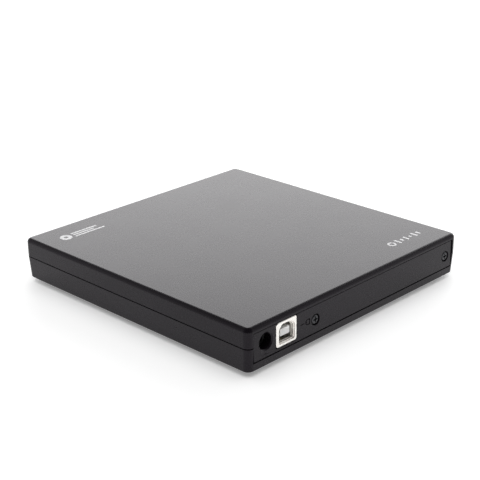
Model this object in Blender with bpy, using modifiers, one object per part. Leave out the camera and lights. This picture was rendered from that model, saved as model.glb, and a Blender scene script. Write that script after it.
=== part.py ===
"""An external optical drive: a flat casing in two shells around a slim drive with a sliding disc tray.

The origin is on the surface it stands on, under the middle of the casing. -Y is the front, where the tray
comes out, +Y is the back with the sockets, and +X is the right-hand side seen from the front.
"""

import math

import bmesh
import bpy
from mathutils import Matrix, Vector

# Casing
CASE_WIDTH = 0.139
CASE_DEPTH = 0.143
HEAD_ROOM = 0.00075
PARTING_HEIGHT = 0.0105
TOP_WALL = 0.002
BOTTOM_WALL = 0.0024
CORNER_RADIUS = 0.003
EDGE_RADIUS = 0.002
LOWER_EDGE_RADIUS = 0.0006
DRAFT = 0.0006
LIP_WIDTH = 0.001
LIP_RISE = 0.0025
FOOT_STAND = 0.0023
FOOT_RADIUS = 0.004
FOOT_SINK = 0.0005
FOOT_INSET = 0.011

# Fits
GAP = 0.0003
PANEL_GAP = 0.00045
CUT_PAST = 0.001

# Rear panel and what shows in it, measured in from the right-hand or left-hand side of the casing and up
# from the opening's lower edge
PANEL_MARGIN = 0.00305
PANEL_CLEARANCE = 0.00035
PANEL_INSET = 0.0004
FLANGE_THICKNESS = 0.0012
FLANGE_REACH = 0.0006
SCREW_HEIGHT = 0.00635
SCREW_RIGHT_IN = 0.0402
SCREW_LEFT_IN = 0.0081
SCREW_HEAD_RADIUS = 0.002
SCREW_HEAD_HEIGHT = 0.0008
SCREW_RADIUS = 0.001
SCREW_LENGTH = 0.0075
CROSS_LENGTH = 0.0022
CROSS_WIDTH = 0.0006
CROSS_DEPTH = 0.0005
BOSS_WIDTH = 0.0052
BOSS_DEPTH = 0.006
USB_IN = 0.0224
USB_HEIGHT = 0.0074
USB_WIDTH = 0.01204
USB_TALL = 0.011
USB_DEPTH = 0.015
USB_OPENING_WIDTH = 0.00845
USB_OPENING_TALL = 0.00778
USB_OPENING_SLOPE = 0.0019
USB_OPENING_DEPTH = 0.012
TONGUE_WIDTH = 0.0056
TONGUE_TALL = 0.0032
TONGUE_DEPTH = 0.0105
CONTACT_WIDTH = 0.001
CONTACT_LENGTH = 0.007
CONTACT_THICKNESS = 0.0003
DC_IN = 0.0105
DC_HEIGHT = 0.0074
DC_PANEL_RADIUS = 0.0035
DC_BODY_WIDTH = 0.009
DC_BODY_TALL = 0.0108
DC_BODY_DEPTH = 0.0105
DC_HOLE_RADIUS = 0.00315
DC_HOLE_DEPTH = 0.009
DC_PIN_RADIUS = 0.001

# Slim drive: a standard size that doesn't change with the casing
DRIVE_WIDTH = 0.128
DRIVE_DEPTH = 0.127
DRIVE_HEIGHT = 0.0127
DRIVE_LIFT = 0.00385
SHEET = 0.0006
BEZEL_WIDER = 0.0004
BEZEL_LOWER = 0.0004
BEZEL_DEPTH = 0.0049
BEZEL_EDGE = 0.0006
RIB_WIDTH = 0.003
RIB_SPACING = 0.1
BOARD_THICKNESS = 0.001
BOARD_DEPTH = 0.023
BRIDGE_BOARD_LEFT = -0.022
BRIDGE_CHIP = (0.012, 0.007, 0.0012)
BRIDGE_CHIP_X = 0.013
CRYSTAL = (0.007, 0.005, 0.0035)
CRYSTAL_X = 0.002
CAPACITOR_X = -0.008
CAPACITOR_RADIUS = 0.003
CAPACITOR_TALL = 0.0065
CONNECTOR = (0.008, 0.0087, 0.005)
MAIN_CHIP = (0.014, 0.014, 0.001)
MAIN_CHIP_FROM_BACK = 0.011

# Heights inside the drive, above its underside
BOARD_LEVEL = 0.00095
TRAY_LEVEL = 0.00545
TRAY_FLOOR = 0.0016
TRAY_RIM = 0.006
MECHANISM_LEVEL = 0.00125
MECHANISM_TALL = 0.0038
MOTOR_FLOOR = 0.0008
RUNNER_LEVEL = 0.00385

# Tray and its telescopic runners
RUNNER_SPACE = 0.0038
TRAY_BACK_CLEARANCE = 0.0017
WELL_RADIUS = 0.061
SPINDLE_FROM_FRONT = 0.066
RUNNER_WALL = 0.0005
GUIDE_TALL = 0.0044
RUNNER_CLEARANCE = 0.0003
RUNNER_LIP = 0.0016
TONGUE_OUT = 0.0011

# Eject button, light and pin hole in the tray's bezel
BUTTON_X = 0.048
BUTTON_WIDTH = 0.009
BUTTON_TALL = 0.0034
BUTTON_DEPTH = 0.0042
BUTTON_PROUD_GAP = 0.0002
LIGHT_X = 0.0365
LIGHT_WIDTH = 0.003
LIGHT_TALL = 0.0014
PIN_HOLE_X = 0.029
PIN_HOLE_RADIUS = 0.0006

# Laser mechanism, in a frame of its own: U runs from the spindle towards the disc's edge, V across
MECHANISM_TURN = math.radians(-135)
MECHANISM_OUTLINE = (
    (-15.5, -11),
    (-9, -19),
    (61.5, -19),
    (68, -12.5),
    (68, 11),
    (61.5, 17.5),
    (-9, 17.5),
    (-15.5, 11),
)
WINDOW_OUTLINE = (
    (14.6, -18.3),
    (61.8, -18.3),
    (66.4, -13.7),
    (66.4, 11.5),
    (61.5, 16.4),
    (14.6, 16.4),
)
MM = 0.001
FRAME_LAP = 0.0015
MOTOR_RADIUS = 0.0126
ROTOR_RADIUS = 0.0118
TURNTABLE_RADIUS = 0.0143
HUB_RADIUS = 0.0072
DISC_LEVEL = 0.00845
HUB_RISE = 0.0019
CLAW_WIDTH = 0.0026
CLAW_LENGTH = 0.0032
CLAW_TALL = 0.0008
CLAW_SINK = 0.0002
CLAW_TRAVEL = 0.0006
HUB_EDGE = 0.0008
ROTOR_EDGE = 0.0006
TURNTABLE_THICKNESS = 0.0009
LENS_HOME = 0.0235
LENS_RADIUS = 0.0021
ROD_RADIUS = 0.001
ROD_LEVEL = 0.0022
ROD_FAR_V = 0.0135
ROD_NEAR_V = -0.011
SCREW_V = -0.0165
SCREW_ROD_RADIUS = 0.0011
ROD_START = 0.0127
ROD_FAR_END = 0.0662
ROD_NEAR_END = 0.068
LENS_SLOT_END = 0.0655
LENS_SLOT_NEAR_V = -0.0085
LENS_SLOT_FAR_V = 0.0105
SHIELD = 0.0003
SLED_MOTOR_START = -0.0012
SLED_MOTOR_END = 0.01
SLED_MOTOR_WIDTH = 0.0042
LEAD_SCREW_END = 0.0612
SLED_LENGTH = 0.014
SLED_NEAR_V = -0.009
SLED_FAR_V = 0.011
ARM_LENGTH = 0.008
HOOK_LENGTH = 0.006
NUT_LENGTH = 0.004
ROD_COLLAR = 0.0018
HOLDER_LENGTH = 0.0104
HOLDER_WIDTH = 0.009
LENS_SINK = 0.001
LENS_TALL = 0.0012
LENS_LIFT = 0.0007
LENS_BELOW_DISC = 0.0015
HOLDER_EDGE = 0.0004

# Latch, ejector and flex cable
LATCH_PIVOT = Vector((0.041, -0.0475))
LATCH_PIN = Vector((0.050, -0.0585))
LATCH_PIN_RADIUS = 0.0009
EJECTOR_X = -0.050
EJECTOR_TRAVEL = 0.005
EJECTOR_LENGTH = 0.0125
EJECTOR_LEVEL = 0.004
PLUNGER_WIDTH = 0.0024
PLUNGER_TALL = 0.0012
EJECTOR_SIDE_WALL = 0.0018
EJECTOR_FLOOR = 0.0008
PUSH_RIB = 0.003
LATCH_LEVEL = 0.0004
LATCH_THICKNESS = 0.0016
LATCH_HUB = 0.0044
LATCH_ARM = 0.0022
LATCH_HOOK = 0.0025
LATCH_WINDOW = 0.006
SOLENOID_LENGTH = 0.012
SOLENOID_WIDTH = 0.008
FLEX_SHORTER = 0.003
BOARD_INSET = 0.006
FLEX_X = 0.034
FLEX_WIDTH = 0.014
FLEX_THICKNESS = 0.0003
FLEX_LOOP_Y = -0.038

# Places that follow from the sizes above
CASE_HEIGHT = DRIVE_LIFT + DRIVE_HEIGHT + HEAD_ROOM + TOP_WALL
FRONT = -CASE_DEPTH / 2
BACK = CASE_DEPTH / 2
SIDE = CASE_WIDTH / 2
CASE_LOW = FOOT_STAND
FOOT_THICKNESS = FOOT_STAND + FOOT_SINK
CASE_TOP = FOOT_STAND + CASE_HEIGHT
PARTING = FOOT_STAND + PARTING_HEIGHT
DRIVE_LOW = CASE_LOW + DRIVE_LIFT
PANEL_LOW = DRIVE_LOW - PANEL_CLEARANCE
PANEL_HIGH = DRIVE_LOW + DRIVE_HEIGHT + PANEL_CLEARANCE
USB_Z = PANEL_LOW + USB_HEIGHT
DC_Z = PANEL_LOW + DC_HEIGHT
SCREW_Z = PANEL_LOW + SCREW_HEIGHT
DRIVE_TOP = DRIVE_LOW + DRIVE_HEIGHT
DRIVE_BACK = FRONT + DRIVE_DEPTH
CHASSIS_FRONT = FRONT + BEZEL_DEPTH + GAP
DRIVE_MIDDLE = (DRIVE_LOW + DRIVE_TOP) / 2
PANEL_FACE = BACK - PANEL_INSET
FLANGE_FACE = BACK - BOTTOM_WALL - DRAFT - GAP
PANEL_BACK = FLANGE_FACE - FLANGE_THICKNESS
BRIDGE_TOP = USB_Z - USB_TALL / 2 - GAP
TRAY_LOW = DRIVE_LOW + TRAY_LEVEL
TRAY_DECK = TRAY_LOW + TRAY_FLOOR
TRAY_TOP = TRAY_LOW + TRAY_RIM
TRAY_BACK = DRIVE_BACK - TRAY_BACK_CLEARANCE
RUNNER_LOW = DRIVE_LOW + RUNNER_LEVEL
SPINDLE_Y = FRONT + SPINDLE_FROM_FRONT
MECHANISM_LOW = DRIVE_LOW + MECHANISM_LEVEL
MECHANISM_TOP = MECHANISM_LOW + MECHANISM_TALL
DISC_Z = DRIVE_LOW + DISC_LEVEL
EJECTOR_Z = DRIVE_LOW + EJECTOR_LEVEL
TRAY_WIDTH = DRIVE_WIDTH - 2 * RUNNER_SPACE
BEZEL_WIDTH = DRIVE_WIDTH + BEZEL_WIDER
BEZEL_HEIGHT = DRIVE_HEIGHT - BEZEL_LOWER
FRONT_OPENING_WIDTH = BEZEL_WIDTH + 2 * GAP
FRONT_OPENING_HEIGHT = BEZEL_HEIGHT + 2 * GAP


def clear_scene():
    for old in list(bpy.data.objects):
        bpy.data.objects.remove(old, do_unlink=True)


def new_collection(name, hidden=False):
    collection = bpy.data.collections.new(name)
    bpy.context.scene.collection.children.link(collection)
    collection.hide_render = hidden
    return collection


def material(name, color, roughness, metallic=0.0, transmission=0.0):
    made = bpy.data.materials.new(name)
    made.use_nodes = True
    shader = made.node_tree.nodes["Principled BSDF"]
    shader.inputs["Base Color"].default_value = (*color, 1)
    shader.inputs["Roughness"].default_value = roughness
    shader.inputs["Metallic"].default_value = metallic
    shader.inputs["Transmission Weight"].default_value = transmission
    made.diffuse_color = (*color, 1)
    return made


def add(name, data, finish=None, location=(0, 0, 0), parent=None):
    """Links a new object to the drive's collection, or to the cutters when it has no finish."""
    made = bpy.data.objects.new(name, data)
    made.location = location
    made.parent = parent
    if finish:
        data.materials.append(FINISHES[finish])
        PARTS.objects.link(made)
    else:
        made.hide_render = True
        made.display_type = "WIRE"
        CUTTERS.objects.link(made)
    return made


def mesh_of(shape, name, smooth=False):
    mesh = bpy.data.meshes.new(name)
    shape.to_mesh(mesh)
    shape.free()
    if smooth:
        mesh.shade_smooth()
        mesh.set_sharp_from_angle(angle=math.radians(35))
    return mesh


def box(name, low, high, finish=None, rounding=0.0, parent=None):
    """A box between two corners, its long edges rounded when a rounding is given."""
    low = Vector(low)
    high = Vector(high)
    shape = bmesh.new()
    bmesh.ops.create_cube(shape, size=1, matrix=Matrix.Diagonal((*(high - low), 1)))
    if rounding:
        bmesh.ops.bevel(
            shape, geom=list(shape.edges), offset=rounding, segments=2, profile=0.5, affect="EDGES"
        )
    return add(name, mesh_of(shape, name), finish, (low + high) / 2, parent)


def cylinder(name, radius, low, high, finish=None, axis="Z", segments=32, parent=None):
    """A cylinder from the middle of one end to the middle of the other, along the named axis."""
    low = Vector(low)
    high = Vector(high)
    turn = {"X": Matrix.Rotation(math.pi / 2, 4, "Y"), "Y": Matrix.Rotation(-math.pi / 2, 4, "X")}
    shape = bmesh.new()
    bmesh.ops.create_cone(
        shape,
        cap_ends=True,
        segments=segments,
        radius1=radius,
        radius2=radius,
        depth=(high - low).length,
        matrix=turn.get(axis, Matrix.Identity(4)),
    )
    return add(name, mesh_of(shape, name, smooth=True), finish, (low + high) / 2, parent)


def prism(name, outline, low, high, finish=None, parent=None, upright=False):
    """A flat outline with a thickness from low to high: along Z, or along Y when it stands upright."""
    curve = bpy.data.curves.new(name, "CURVE")
    curve.dimensions = "2D"
    curve.fill_mode = "BOTH"
    curve.extrude = (high - low) / 2
    spline = curve.splines.new("POLY")
    spline.points.add(len(outline) - 1)
    for point, (x, y) in zip(spline.points, outline):
        point.co = (x, y, 0, 1)
    spline.use_cyclic_u = True
    middle = (low + high) / 2
    drawn = bpy.data.objects.new(name + "_outline", curve)
    bpy.context.scene.collection.objects.link(drawn)
    bpy.context.view_layer.update()
    mesh = bpy.data.meshes.new_from_object(drawn.evaluated_get(bpy.context.evaluated_depsgraph_get()))
    mesh.name = name
    bpy.data.objects.remove(drawn, do_unlink=True)
    shape = bmesh.new()
    shape.from_mesh(mesh)
    bmesh.ops.remove_doubles(shape, verts=shape.verts, dist=1e-6)
    if upright:
        bmesh.ops.rotate(shape, verts=shape.verts, matrix=Matrix.Rotation(math.pi / 2, 3, "X"))
    shape.to_mesh(mesh)
    shape.free()
    mesh.materials.clear()
    return add(name, mesh, finish, (0, middle, 0) if upright else (0, 0, middle), parent)


def turned(name, profile, finish=None, location=(0, 0, 0), segments=32, parent=None, along_y=False):
    """A profile of (radius, height) points, from top to bottom on the outside, turned around Z or Y."""
    mesh = bpy.data.meshes.new(name)
    points = [(radius, 0, height) for radius, height in profile]
    mesh.from_pydata(points, [(i, i + 1) for i in range(len(points) - 1)], [])
    made = add(name, mesh, finish, location, parent)
    screw = made.modifiers.new("Turn", "SCREW")
    screw.steps = segments
    screw.render_steps = segments
    screw.use_merge_vertices = True
    screw.merge_threshold = 0.00001
    screw.use_smooth_shade = True
    if along_y:
        made.rotation_euler = (-math.pi / 2, 0, 0)
    return made


def cut(target, *cutters):
    for cutter in cutters:
        change = target.modifiers.new("Cut " + cutter.name, "BOOLEAN")
        change.operation = "DIFFERENCE"
        change.object = cutter
    return target


def join(target, *pieces):
    for piece in pieces:
        change = target.modifiers.new("Join " + piece.name, "BOOLEAN")
        change.operation = "UNION"
        change.object = piece
    return target


def offset_outline(outline, distance):
    """The outline of a convex shape moved outwards by a distance, or inwards by a negative one."""
    count = len(outline)
    lines = []
    for i in range(count):
        start = Vector(outline[i])
        run = (Vector(outline[(i + 1) % count]) - start).normalized()
        lines.append((start + Vector((run.y, -run.x)) * distance, run))
    moved = []
    for i in range(count):
        start, run = lines[i - 1]
        other, other_run = lines[i]
        reach = (other - start).cross(other_run) / run.cross(other_run)
        moved.append(start + run * reach)
    return moved


def in_metres(outline):
    return [(x * MM, y * MM) for x, y in outline]


def open_shell(name, height, base, wall, floor_down, edge_radius, finish):
    """Half of the casing: a box open on its inner side, rounded, then given a wall inwards."""
    shape = bmesh.new()
    bmesh.ops.create_cube(shape, size=1, matrix=Matrix.Diagonal((CASE_WIDTH, CASE_DEPTH, height, 1)))
    closed_z = -height / 2 if floor_down else height / 2
    if floor_down:
        for vert in shape.verts:
            if vert.co.z < 0:
                vert.co.x -= math.copysign(DRAFT, vert.co.x)
                vert.co.y -= math.copysign(DRAFT, vert.co.y)
    opening = [face for face in shape.faces if abs(face.calc_center_median().z + closed_z) < 1e-6]
    bmesh.ops.delete(shape, geom=opening, context="FACES_ONLY")
    corners = [edge for edge in shape.edges if abs(edge.verts[0].co.z - edge.verts[1].co.z) > height / 2]
    bmesh.ops.bevel(shape, geom=corners, offset=CORNER_RADIUS, segments=5, profile=0.5, affect="EDGES")
    rim = [edge for edge in shape.edges if all(abs(vert.co.z - closed_z) < 1e-6 for vert in edge.verts)]
    bmesh.ops.bevel(shape, geom=rim, offset=edge_radius, segments=3, profile=0.5, affect="EDGES")
    made = add(name, mesh_of(shape, name, smooth=True), finish, (0, 0, base + height / 2))
    solid = made.modifiers.new("Wall", "SOLIDIFY")
    solid.thickness = wall
    solid.offset = -1
    solid.use_even_offset = True
    return made


def ring(name, width, depth, low, high, thickness):
    """An upright band with clipped corners, used as the lip between the two shells."""
    x = width / 2
    y = depth / 2
    clip = thickness
    outline = [
        (clip - x, -y),
        (x - clip, -y),
        (x, clip - y),
        (x, y - clip),
        (x - clip, y),
        (clip - x, y),
        (-x, y - clip),
        (-x, clip - y),
    ]
    band = prism(name, outline, low, high)
    inside = offset_outline(outline, -thickness)
    hollow = prism(name + "_inside", inside, low - CUT_PAST, high + CUT_PAST)
    return cut(band, hollow)


def casing_openings():
    """Cutters for the bezel's opening in front and the socket panel's opening at the back."""
    front = box(
        "front_opening",
        (-FRONT_OPENING_WIDTH / 2, FRONT - CUT_PAST, DRIVE_MIDDLE - FRONT_OPENING_HEIGHT / 2),
        (FRONT_OPENING_WIDTH / 2, CHASSIS_FRONT, DRIVE_MIDDLE + FRONT_OPENING_HEIGHT / 2),
    )
    back = box(
        "rear_opening",
        (-SIDE + PANEL_MARGIN, PANEL_BACK - GAP, PANEL_LOW),
        (SIDE - PANEL_MARGIN, BACK + CUT_PAST, PANEL_HIGH),
    )
    return front, back


def foot_places():
    reach_x = SIDE - FOOT_INSET
    reach_y = BACK - FOOT_INSET
    return [(x, y) for x in (-reach_x, reach_x) for y in (-reach_y, reach_y)]


def make_casing():
    top_height = CASE_HEIGHT - PARTING_HEIGHT - GAP
    top = open_shell("top_shell", top_height, PARTING + GAP, TOP_WALL, False, EDGE_RADIUS, "casing")
    bottom = open_shell(
        "bottom_shell", PARTING_HEIGHT, CASE_LOW, BOTTOM_WALL, True, LOWER_EDGE_RADIUS, "casing"
    )
    front, back = casing_openings()
    inset = 2 * (TOP_WALL + GAP)
    lip = ring(
        "lip", CASE_WIDTH - inset, CASE_DEPTH - inset, PARTING - LIP_RISE, PARTING + LIP_RISE, LIP_WIDTH
    )
    floor = CASE_LOW + BOTTOM_WALL
    ribs = [
        box(
            f"rib_{side}",
            (side * RIB_SPACING / 2 - RIB_WIDTH / 2, CHASSIS_FRONT + RIB_WIDTH, floor - SHEET),
            (side * RIB_SPACING / 2 + RIB_WIDTH / 2, DRIVE_BACK - RIB_WIDTH, DRIVE_LOW - GAP),
        )
        for side in (-1, 1)
    ]
    bosses = [
        box(
            f"screw_boss_{i}",
            (x - BOSS_WIDTH / 2, PANEL_BACK - 2 * GAP - BOSS_DEPTH, floor - SHEET),
            (x + BOSS_WIDTH / 2, PANEL_BACK - 2 * GAP, SCREW_Z + BOSS_WIDTH / 2),
        )
        for i, x in enumerate(screw_places())
    ]
    screw_holes = [
        cylinder(
            f"screw_hole_{i}",
            SCREW_RADIUS + GAP,
            (x, PANEL_BACK - BOSS_DEPTH, SCREW_Z),
            (x, PANEL_BACK + GAP, SCREW_Z),
            axis="Y",
            segments=16,
        )
        for i, x in enumerate(screw_places())
    ]
    pockets = [
        cylinder(
            f"foot_pocket_{i}", FOOT_RADIUS + GAP, (x, y, CASE_LOW - CUT_PAST), (x, y, FOOT_THICKNESS + GAP)
        )
        for i, (x, y) in enumerate(foot_places())
    ]
    join(bottom, lip, *ribs, *bosses)
    cut(bottom, front, back, *screw_holes, *pockets)
    cut(top, front, back)
    for i, (x, y) in enumerate(foot_places()):
        cylinder(f"foot_{i + 1}", FOOT_RADIUS, (x, y, 0), (x, y, FOOT_THICKNESS), "rubber")


def screw_places():
    return -SIDE + SCREW_LEFT_IN, SIDE - SCREW_RIGHT_IN


def make_rear_panel():
    reach = SIDE - PANEL_MARGIN - PANEL_GAP
    plate = box(
        "rear_panel",
        (-reach, PANEL_BACK, PANEL_LOW + PANEL_GAP),
        (reach, PANEL_FACE, PANEL_HIGH - PANEL_GAP),
        "casing",
    )
    flange = box(
        "panel_flange",
        (-reach, PANEL_BACK, PANEL_LOW - FLANGE_REACH),
        (reach, FLANGE_FACE, CASE_TOP - TOP_WALL - GAP),
    )
    join(plate, flange)
    front = BACK + CUT_PAST
    usb = box(
        "usb_hole",
        (SIDE - USB_IN - USB_WIDTH / 2 - GAP, PANEL_BACK - CUT_PAST, USB_Z - USB_TALL / 2 - GAP),
        (SIDE - USB_IN + USB_WIDTH / 2 + GAP, front, USB_Z + USB_TALL / 2 + GAP),
    )
    z = DC_Z
    x = SIDE - DC_IN
    jack = cylinder("jack_hole", DC_PANEL_RADIUS, (x, PANEL_BACK - CUT_PAST, z), (x, front, z), axis="Y")
    cut(plate, usb, jack)
    z = SCREW_Z
    head_seat = PANEL_FACE - SCREW_HEAD_HEIGHT - GAP
    for i, x in enumerate(screw_places()):
        end = (x, front, z)
        seat = cylinder(f"head_seat_{i}", SCREW_HEAD_RADIUS + GAP, (x, head_seat, z), end, axis="Y")
        start = (x, PANEL_BACK - CUT_PAST, z)
        shank = cylinder(f"shank_hole_{i}", SCREW_RADIUS + GAP, start, end, axis="Y", segments=16)
        cut(plate, seat, shank)
    for name, x in zip(("rear_screw_left", "rear_screw_right"), screw_places()):
        make_screw(name, x, z)


def make_screw(name, x, z):
    """A cross-head screw lying along Y, its head's face just inside the panel's face."""
    profile = (
        (0, 0),
        (SCREW_HEAD_RADIUS * 0.8, 0),
        (SCREW_HEAD_RADIUS, -SCREW_HEAD_HEIGHT * 0.3),
        (SCREW_HEAD_RADIUS, -SCREW_HEAD_HEIGHT),
        (SCREW_RADIUS, -SCREW_HEAD_HEIGHT),
        (SCREW_RADIUS, -SCREW_LENGTH + SCREW_RADIUS),
        (0, -SCREW_LENGTH),
    )
    screw = turned(name, profile, "screw_steel", (x, PANEL_FACE - GAP / 2, z), 24, along_y=True)
    face = PANEL_FACE - GAP / 2
    for label, wide, tall in (("flat", CROSS_LENGTH, CROSS_WIDTH), ("upright", CROSS_WIDTH, CROSS_LENGTH)):
        slot = box(
            f"{name}_{label}",
            (x - wide / 2, face - CROSS_DEPTH, z - tall / 2),
            (x + wide / 2, face + CUT_PAST, z + tall / 2),
        )
        cut(screw, slot)


def usb_outline(width, tall, slope):
    """The socket's opening: a square whose two upper corners are sloped off."""
    half = width / 2
    top = tall / 2
    return [
        (-half, -top),
        (half, -top),
        (half, top - slope),
        (half - slope, top),
        (slope - half, top),
        (-half, top - slope),
    ]


def make_usb_socket():
    x = SIDE - USB_IN
    z = USB_Z
    shell = box(
        "usb_socket_shell",
        (x - USB_WIDTH / 2, BACK - USB_DEPTH, z - USB_TALL / 2),
        (x + USB_WIDTH / 2, BACK - PANEL_INSET / 4, z + USB_TALL / 2),
        "bright_metal",
    )
    outline = usb_outline(USB_OPENING_WIDTH, USB_OPENING_TALL, USB_OPENING_SLOPE)
    opening = prism("usb_opening", outline, BACK - USB_OPENING_DEPTH, BACK + CUT_PAST, upright=True)
    opening.location.x = x
    opening.location.z = z
    cut(shell, opening)
    back = BACK - USB_OPENING_DEPTH + GAP
    box(
        "usb_socket_tongue",
        (x - TONGUE_WIDTH / 2, back, z - TONGUE_TALL / 2),
        (x + TONGUE_WIDTH / 2, back + TONGUE_DEPTH, z + TONGUE_TALL / 2),
        "white_plastic",
    )
    number = 0
    for side in (-1, 1):
        for step in (-1, 1):
            number += 1
            middle_x = x + step * TONGUE_WIDTH / 4
            inner = z + side * (TONGUE_TALL / 2 + GAP / 3)
            outer = inner + side * CONTACT_THICKNESS
            box(
                f"usb_contact_{number}",
                (middle_x - CONTACT_WIDTH / 2, back + GAP, min(inner, outer)),
                (middle_x + CONTACT_WIDTH / 2, back + GAP + CONTACT_LENGTH, max(inner, outer)),
                "gold_contact",
            )


def make_dc_jack():
    x = SIDE - DC_IN
    z = DC_Z
    front = PANEL_BACK - GAP
    body = box(
        "dc_jack_body",
        (x - DC_BODY_WIDTH / 2, front - DC_BODY_DEPTH, z - DC_BODY_TALL / 2),
        (x + DC_BODY_WIDTH / 2, front, z + DC_BODY_TALL / 2),
        "black_plastic",
    )
    bottom = (x, front - DC_HOLE_DEPTH, z)
    hole = cylinder("dc_hole", DC_HOLE_RADIUS, bottom, (x, front + CUT_PAST, z), axis="Y")
    cut(body, hole)
    cylinder(
        "dc_jack_pin",
        DC_PIN_RADIUS,
        (x, front - DC_HOLE_DEPTH + GAP, z),
        (x, front - GAP, z),
        "bright_metal",
        axis="Y",
        segments=16,
    )


def make_bridge_board():
    """The board behind the sockets, which joins the drive's own connector to them."""
    right = SIDE - TOP_WALL - LIP_WIDTH - 4 * GAP
    low = BRIDGE_TOP - BOARD_THICKNESS
    front = DRIVE_BACK + GAP
    back = PANEL_BACK - GAP
    board = box("bridge_board", (BRIDGE_BOARD_LEFT, front, low), (right, back, BRIDGE_TOP), "board_green")
    boss_x = screw_places()[1]
    notch = box(
        "boss_notch",
        (boss_x - BOSS_WIDTH / 2 - GAP, back - BOSS_DEPTH - GAP, low - CUT_PAST),
        (boss_x + BOSS_WIDTH / 2 + GAP, back + CUT_PAST, BRIDGE_TOP + CUT_PAST),
    )
    cut(board, notch)
    level = BRIDGE_TOP + GAP
    y = (front + back) / 2
    for name, finish, middle, size in (
        ("bridge_chip", "chip_black", BRIDGE_CHIP_X, BRIDGE_CHIP),
        ("bridge_crystal", "bright_metal", CRYSTAL_X, CRYSTAL),
    ):
        low_corner = (middle - size[0] / 2, y - size[1] / 2, level)
        box(name, low_corner, (middle + size[0] / 2, y + size[1] / 2, level + size[2]), finish)
    foot = (CAPACITOR_X, y, level)
    crown = (CAPACITOR_X, y, level + CAPACITOR_TALL)
    cylinder("bridge_capacitor", CAPACITOR_RADIUS, foot, crown, "bright_metal")
    left = BRIDGE_BOARD_LEFT + BOARD_THICKNESS
    box(
        "drive_connector",
        (left, front + GAP, level),
        (left + CONNECTOR[0], front + GAP + CONNECTOR[1], level + CONNECTOR[2]),
        "black_plastic",
    )


def make_chassis():
    half = DRIVE_WIDTH / 2
    rim = DRIVE_TOP - SHEET - GAP
    pan = box("drive_chassis", (-half, CHASSIS_FRONT, DRIVE_LOW), (half, DRIVE_BACK, rim), "plated_steel")
    hollow = box(
        "chassis_inside",
        (-half + SHEET, CHASSIS_FRONT - CUT_PAST, DRIVE_LOW + SHEET),
        (half - SHEET, DRIVE_BACK - SHEET, rim + CUT_PAST),
    )
    cut(pan, hollow)
    top = (half, DRIVE_BACK, DRIVE_TOP)
    cover = box("drive_cover", (-half, CHASSIS_FRONT, rim + GAP), top, "plated_steel")
    floor = (0, SPINDLE_Y, DRIVE_TOP - SHEET / 3)
    pressing = cylinder("cover_pressing", HUB_RADIUS * 2, floor, (0, SPINDLE_Y, DRIVE_TOP + CUT_PAST))
    cut(cover, pressing)


def channel_outline(side, outer, inner, tall, wall):
    """A C section open towards the middle of the drive, from its web at outer to its lips at inner."""
    points = (
        (outer, 0),
        (outer, tall),
        (inner, tall),
        (inner, tall - wall),
        (outer - wall, tall - wall),
        (outer - wall, wall),
        (inner, wall),
        (inner, 0),
    )
    return [(side * x, z) for x, z in points]


def runner_sizes():
    """Web and lip places of the fixed guide and of the sliding rail inside it."""
    guide_outer = DRIVE_WIDTH / 2 - SHEET - RUNNER_CLEARANCE
    rail_outer = guide_outer - RUNNER_WALL - RUNNER_CLEARANCE
    rail_inner = rail_outer - RUNNER_LIP
    return guide_outer, rail_outer, rail_inner


def make_runners():
    guide_outer, rail_outer, rail_inner = runner_sizes()
    front = CHASSIS_FRONT + RUNNER_WALL
    back = DRIVE_BACK - SHEET - RUNNER_CLEARANCE
    rail_low = RUNNER_LOW + RUNNER_WALL + RUNNER_CLEARANCE
    rail_tall = GUIDE_TALL - 2 * (RUNNER_WALL + RUNNER_CLEARANCE)
    for side, word in ((-1, "left"), (1, "right")):
        outline = channel_outline(side, guide_outer, rail_inner, GUIDE_TALL, RUNNER_WALL)
        guide = prism(f"{word}_guide", outline, front, back, "white_plastic", upright=True)
        guide.location.z = RUNNER_LOW
        outline = channel_outline(side, rail_outer, rail_inner, rail_tall, RUNNER_WALL)
        rail = prism(f"{word}_rail", outline, front, back, "steel", upright=True)
        rail.location.z = rail_low


def tongue_heights():
    low = RUNNER_LOW + 2 * (RUNNER_WALL + RUNNER_CLEARANCE)
    high = RUNNER_LOW + GUIDE_TALL - 2 * (RUNNER_WALL + RUNNER_CLEARANCE)
    return low, high


def make_tray(mechanism):
    half = TRAY_WIDTH / 2
    tray = box("tray", (-half, CHASSIS_FRONT, TRAY_LOW), (half, TRAY_BACK, TRAY_TOP), "tray_plastic")
    rail_web = runner_sizes()[1] - RUNNER_WALL
    low, high = tongue_heights()
    for side in (-1, 1):
        ends = sorted((side * (half - TONGUE_OUT), side * (rail_web - RUNNER_CLEARANCE)))
        tongue = box(f"tray_tongue_{side}", (ends[0], CHASSIS_FRONT, low), (ends[1], TRAY_BACK, high))
        join(tray, tongue)
    half_rib = PUSH_RIB / 2
    push_rib = box(
        "push_rib",
        (EJECTOR_X - half_rib, ejector_front() - GAP - half_rib, EJECTOR_Z - PLUNGER_TALL / 2),
        (EJECTOR_X + half_rib, ejector_front() - GAP, TRAY_DECK - GAP),
    )
    join(tray, push_rib)
    deck = (0, SPINDLE_Y, TRAY_DECK)
    well = cylinder("disc_well", WELL_RADIUS, deck, (0, SPINDLE_Y, TRAY_TOP + CUT_PAST), segments=72)
    opening = prism(
        "mechanism_opening",
        in_metres(MECHANISM_OUTLINE),
        TRAY_LOW - CUT_PAST,
        TRAY_TOP + CUT_PAST,
        parent=mechanism,
    )
    latch_window = box(
        "latch_window",
        (LATCH_PIVOT.x - SOLENOID_WIDTH / 2, LATCH_PIVOT.y - LATCH_WINDOW / 2, TRAY_LOW - CUT_PAST),
        (LATCH_PIVOT.x + SOLENOID_WIDTH / 2, LATCH_PIVOT.y + LATCH_WINDOW / 2, TRAY_LOW + GAP),
    )
    cut(tray, well, opening, latch_window)


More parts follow.
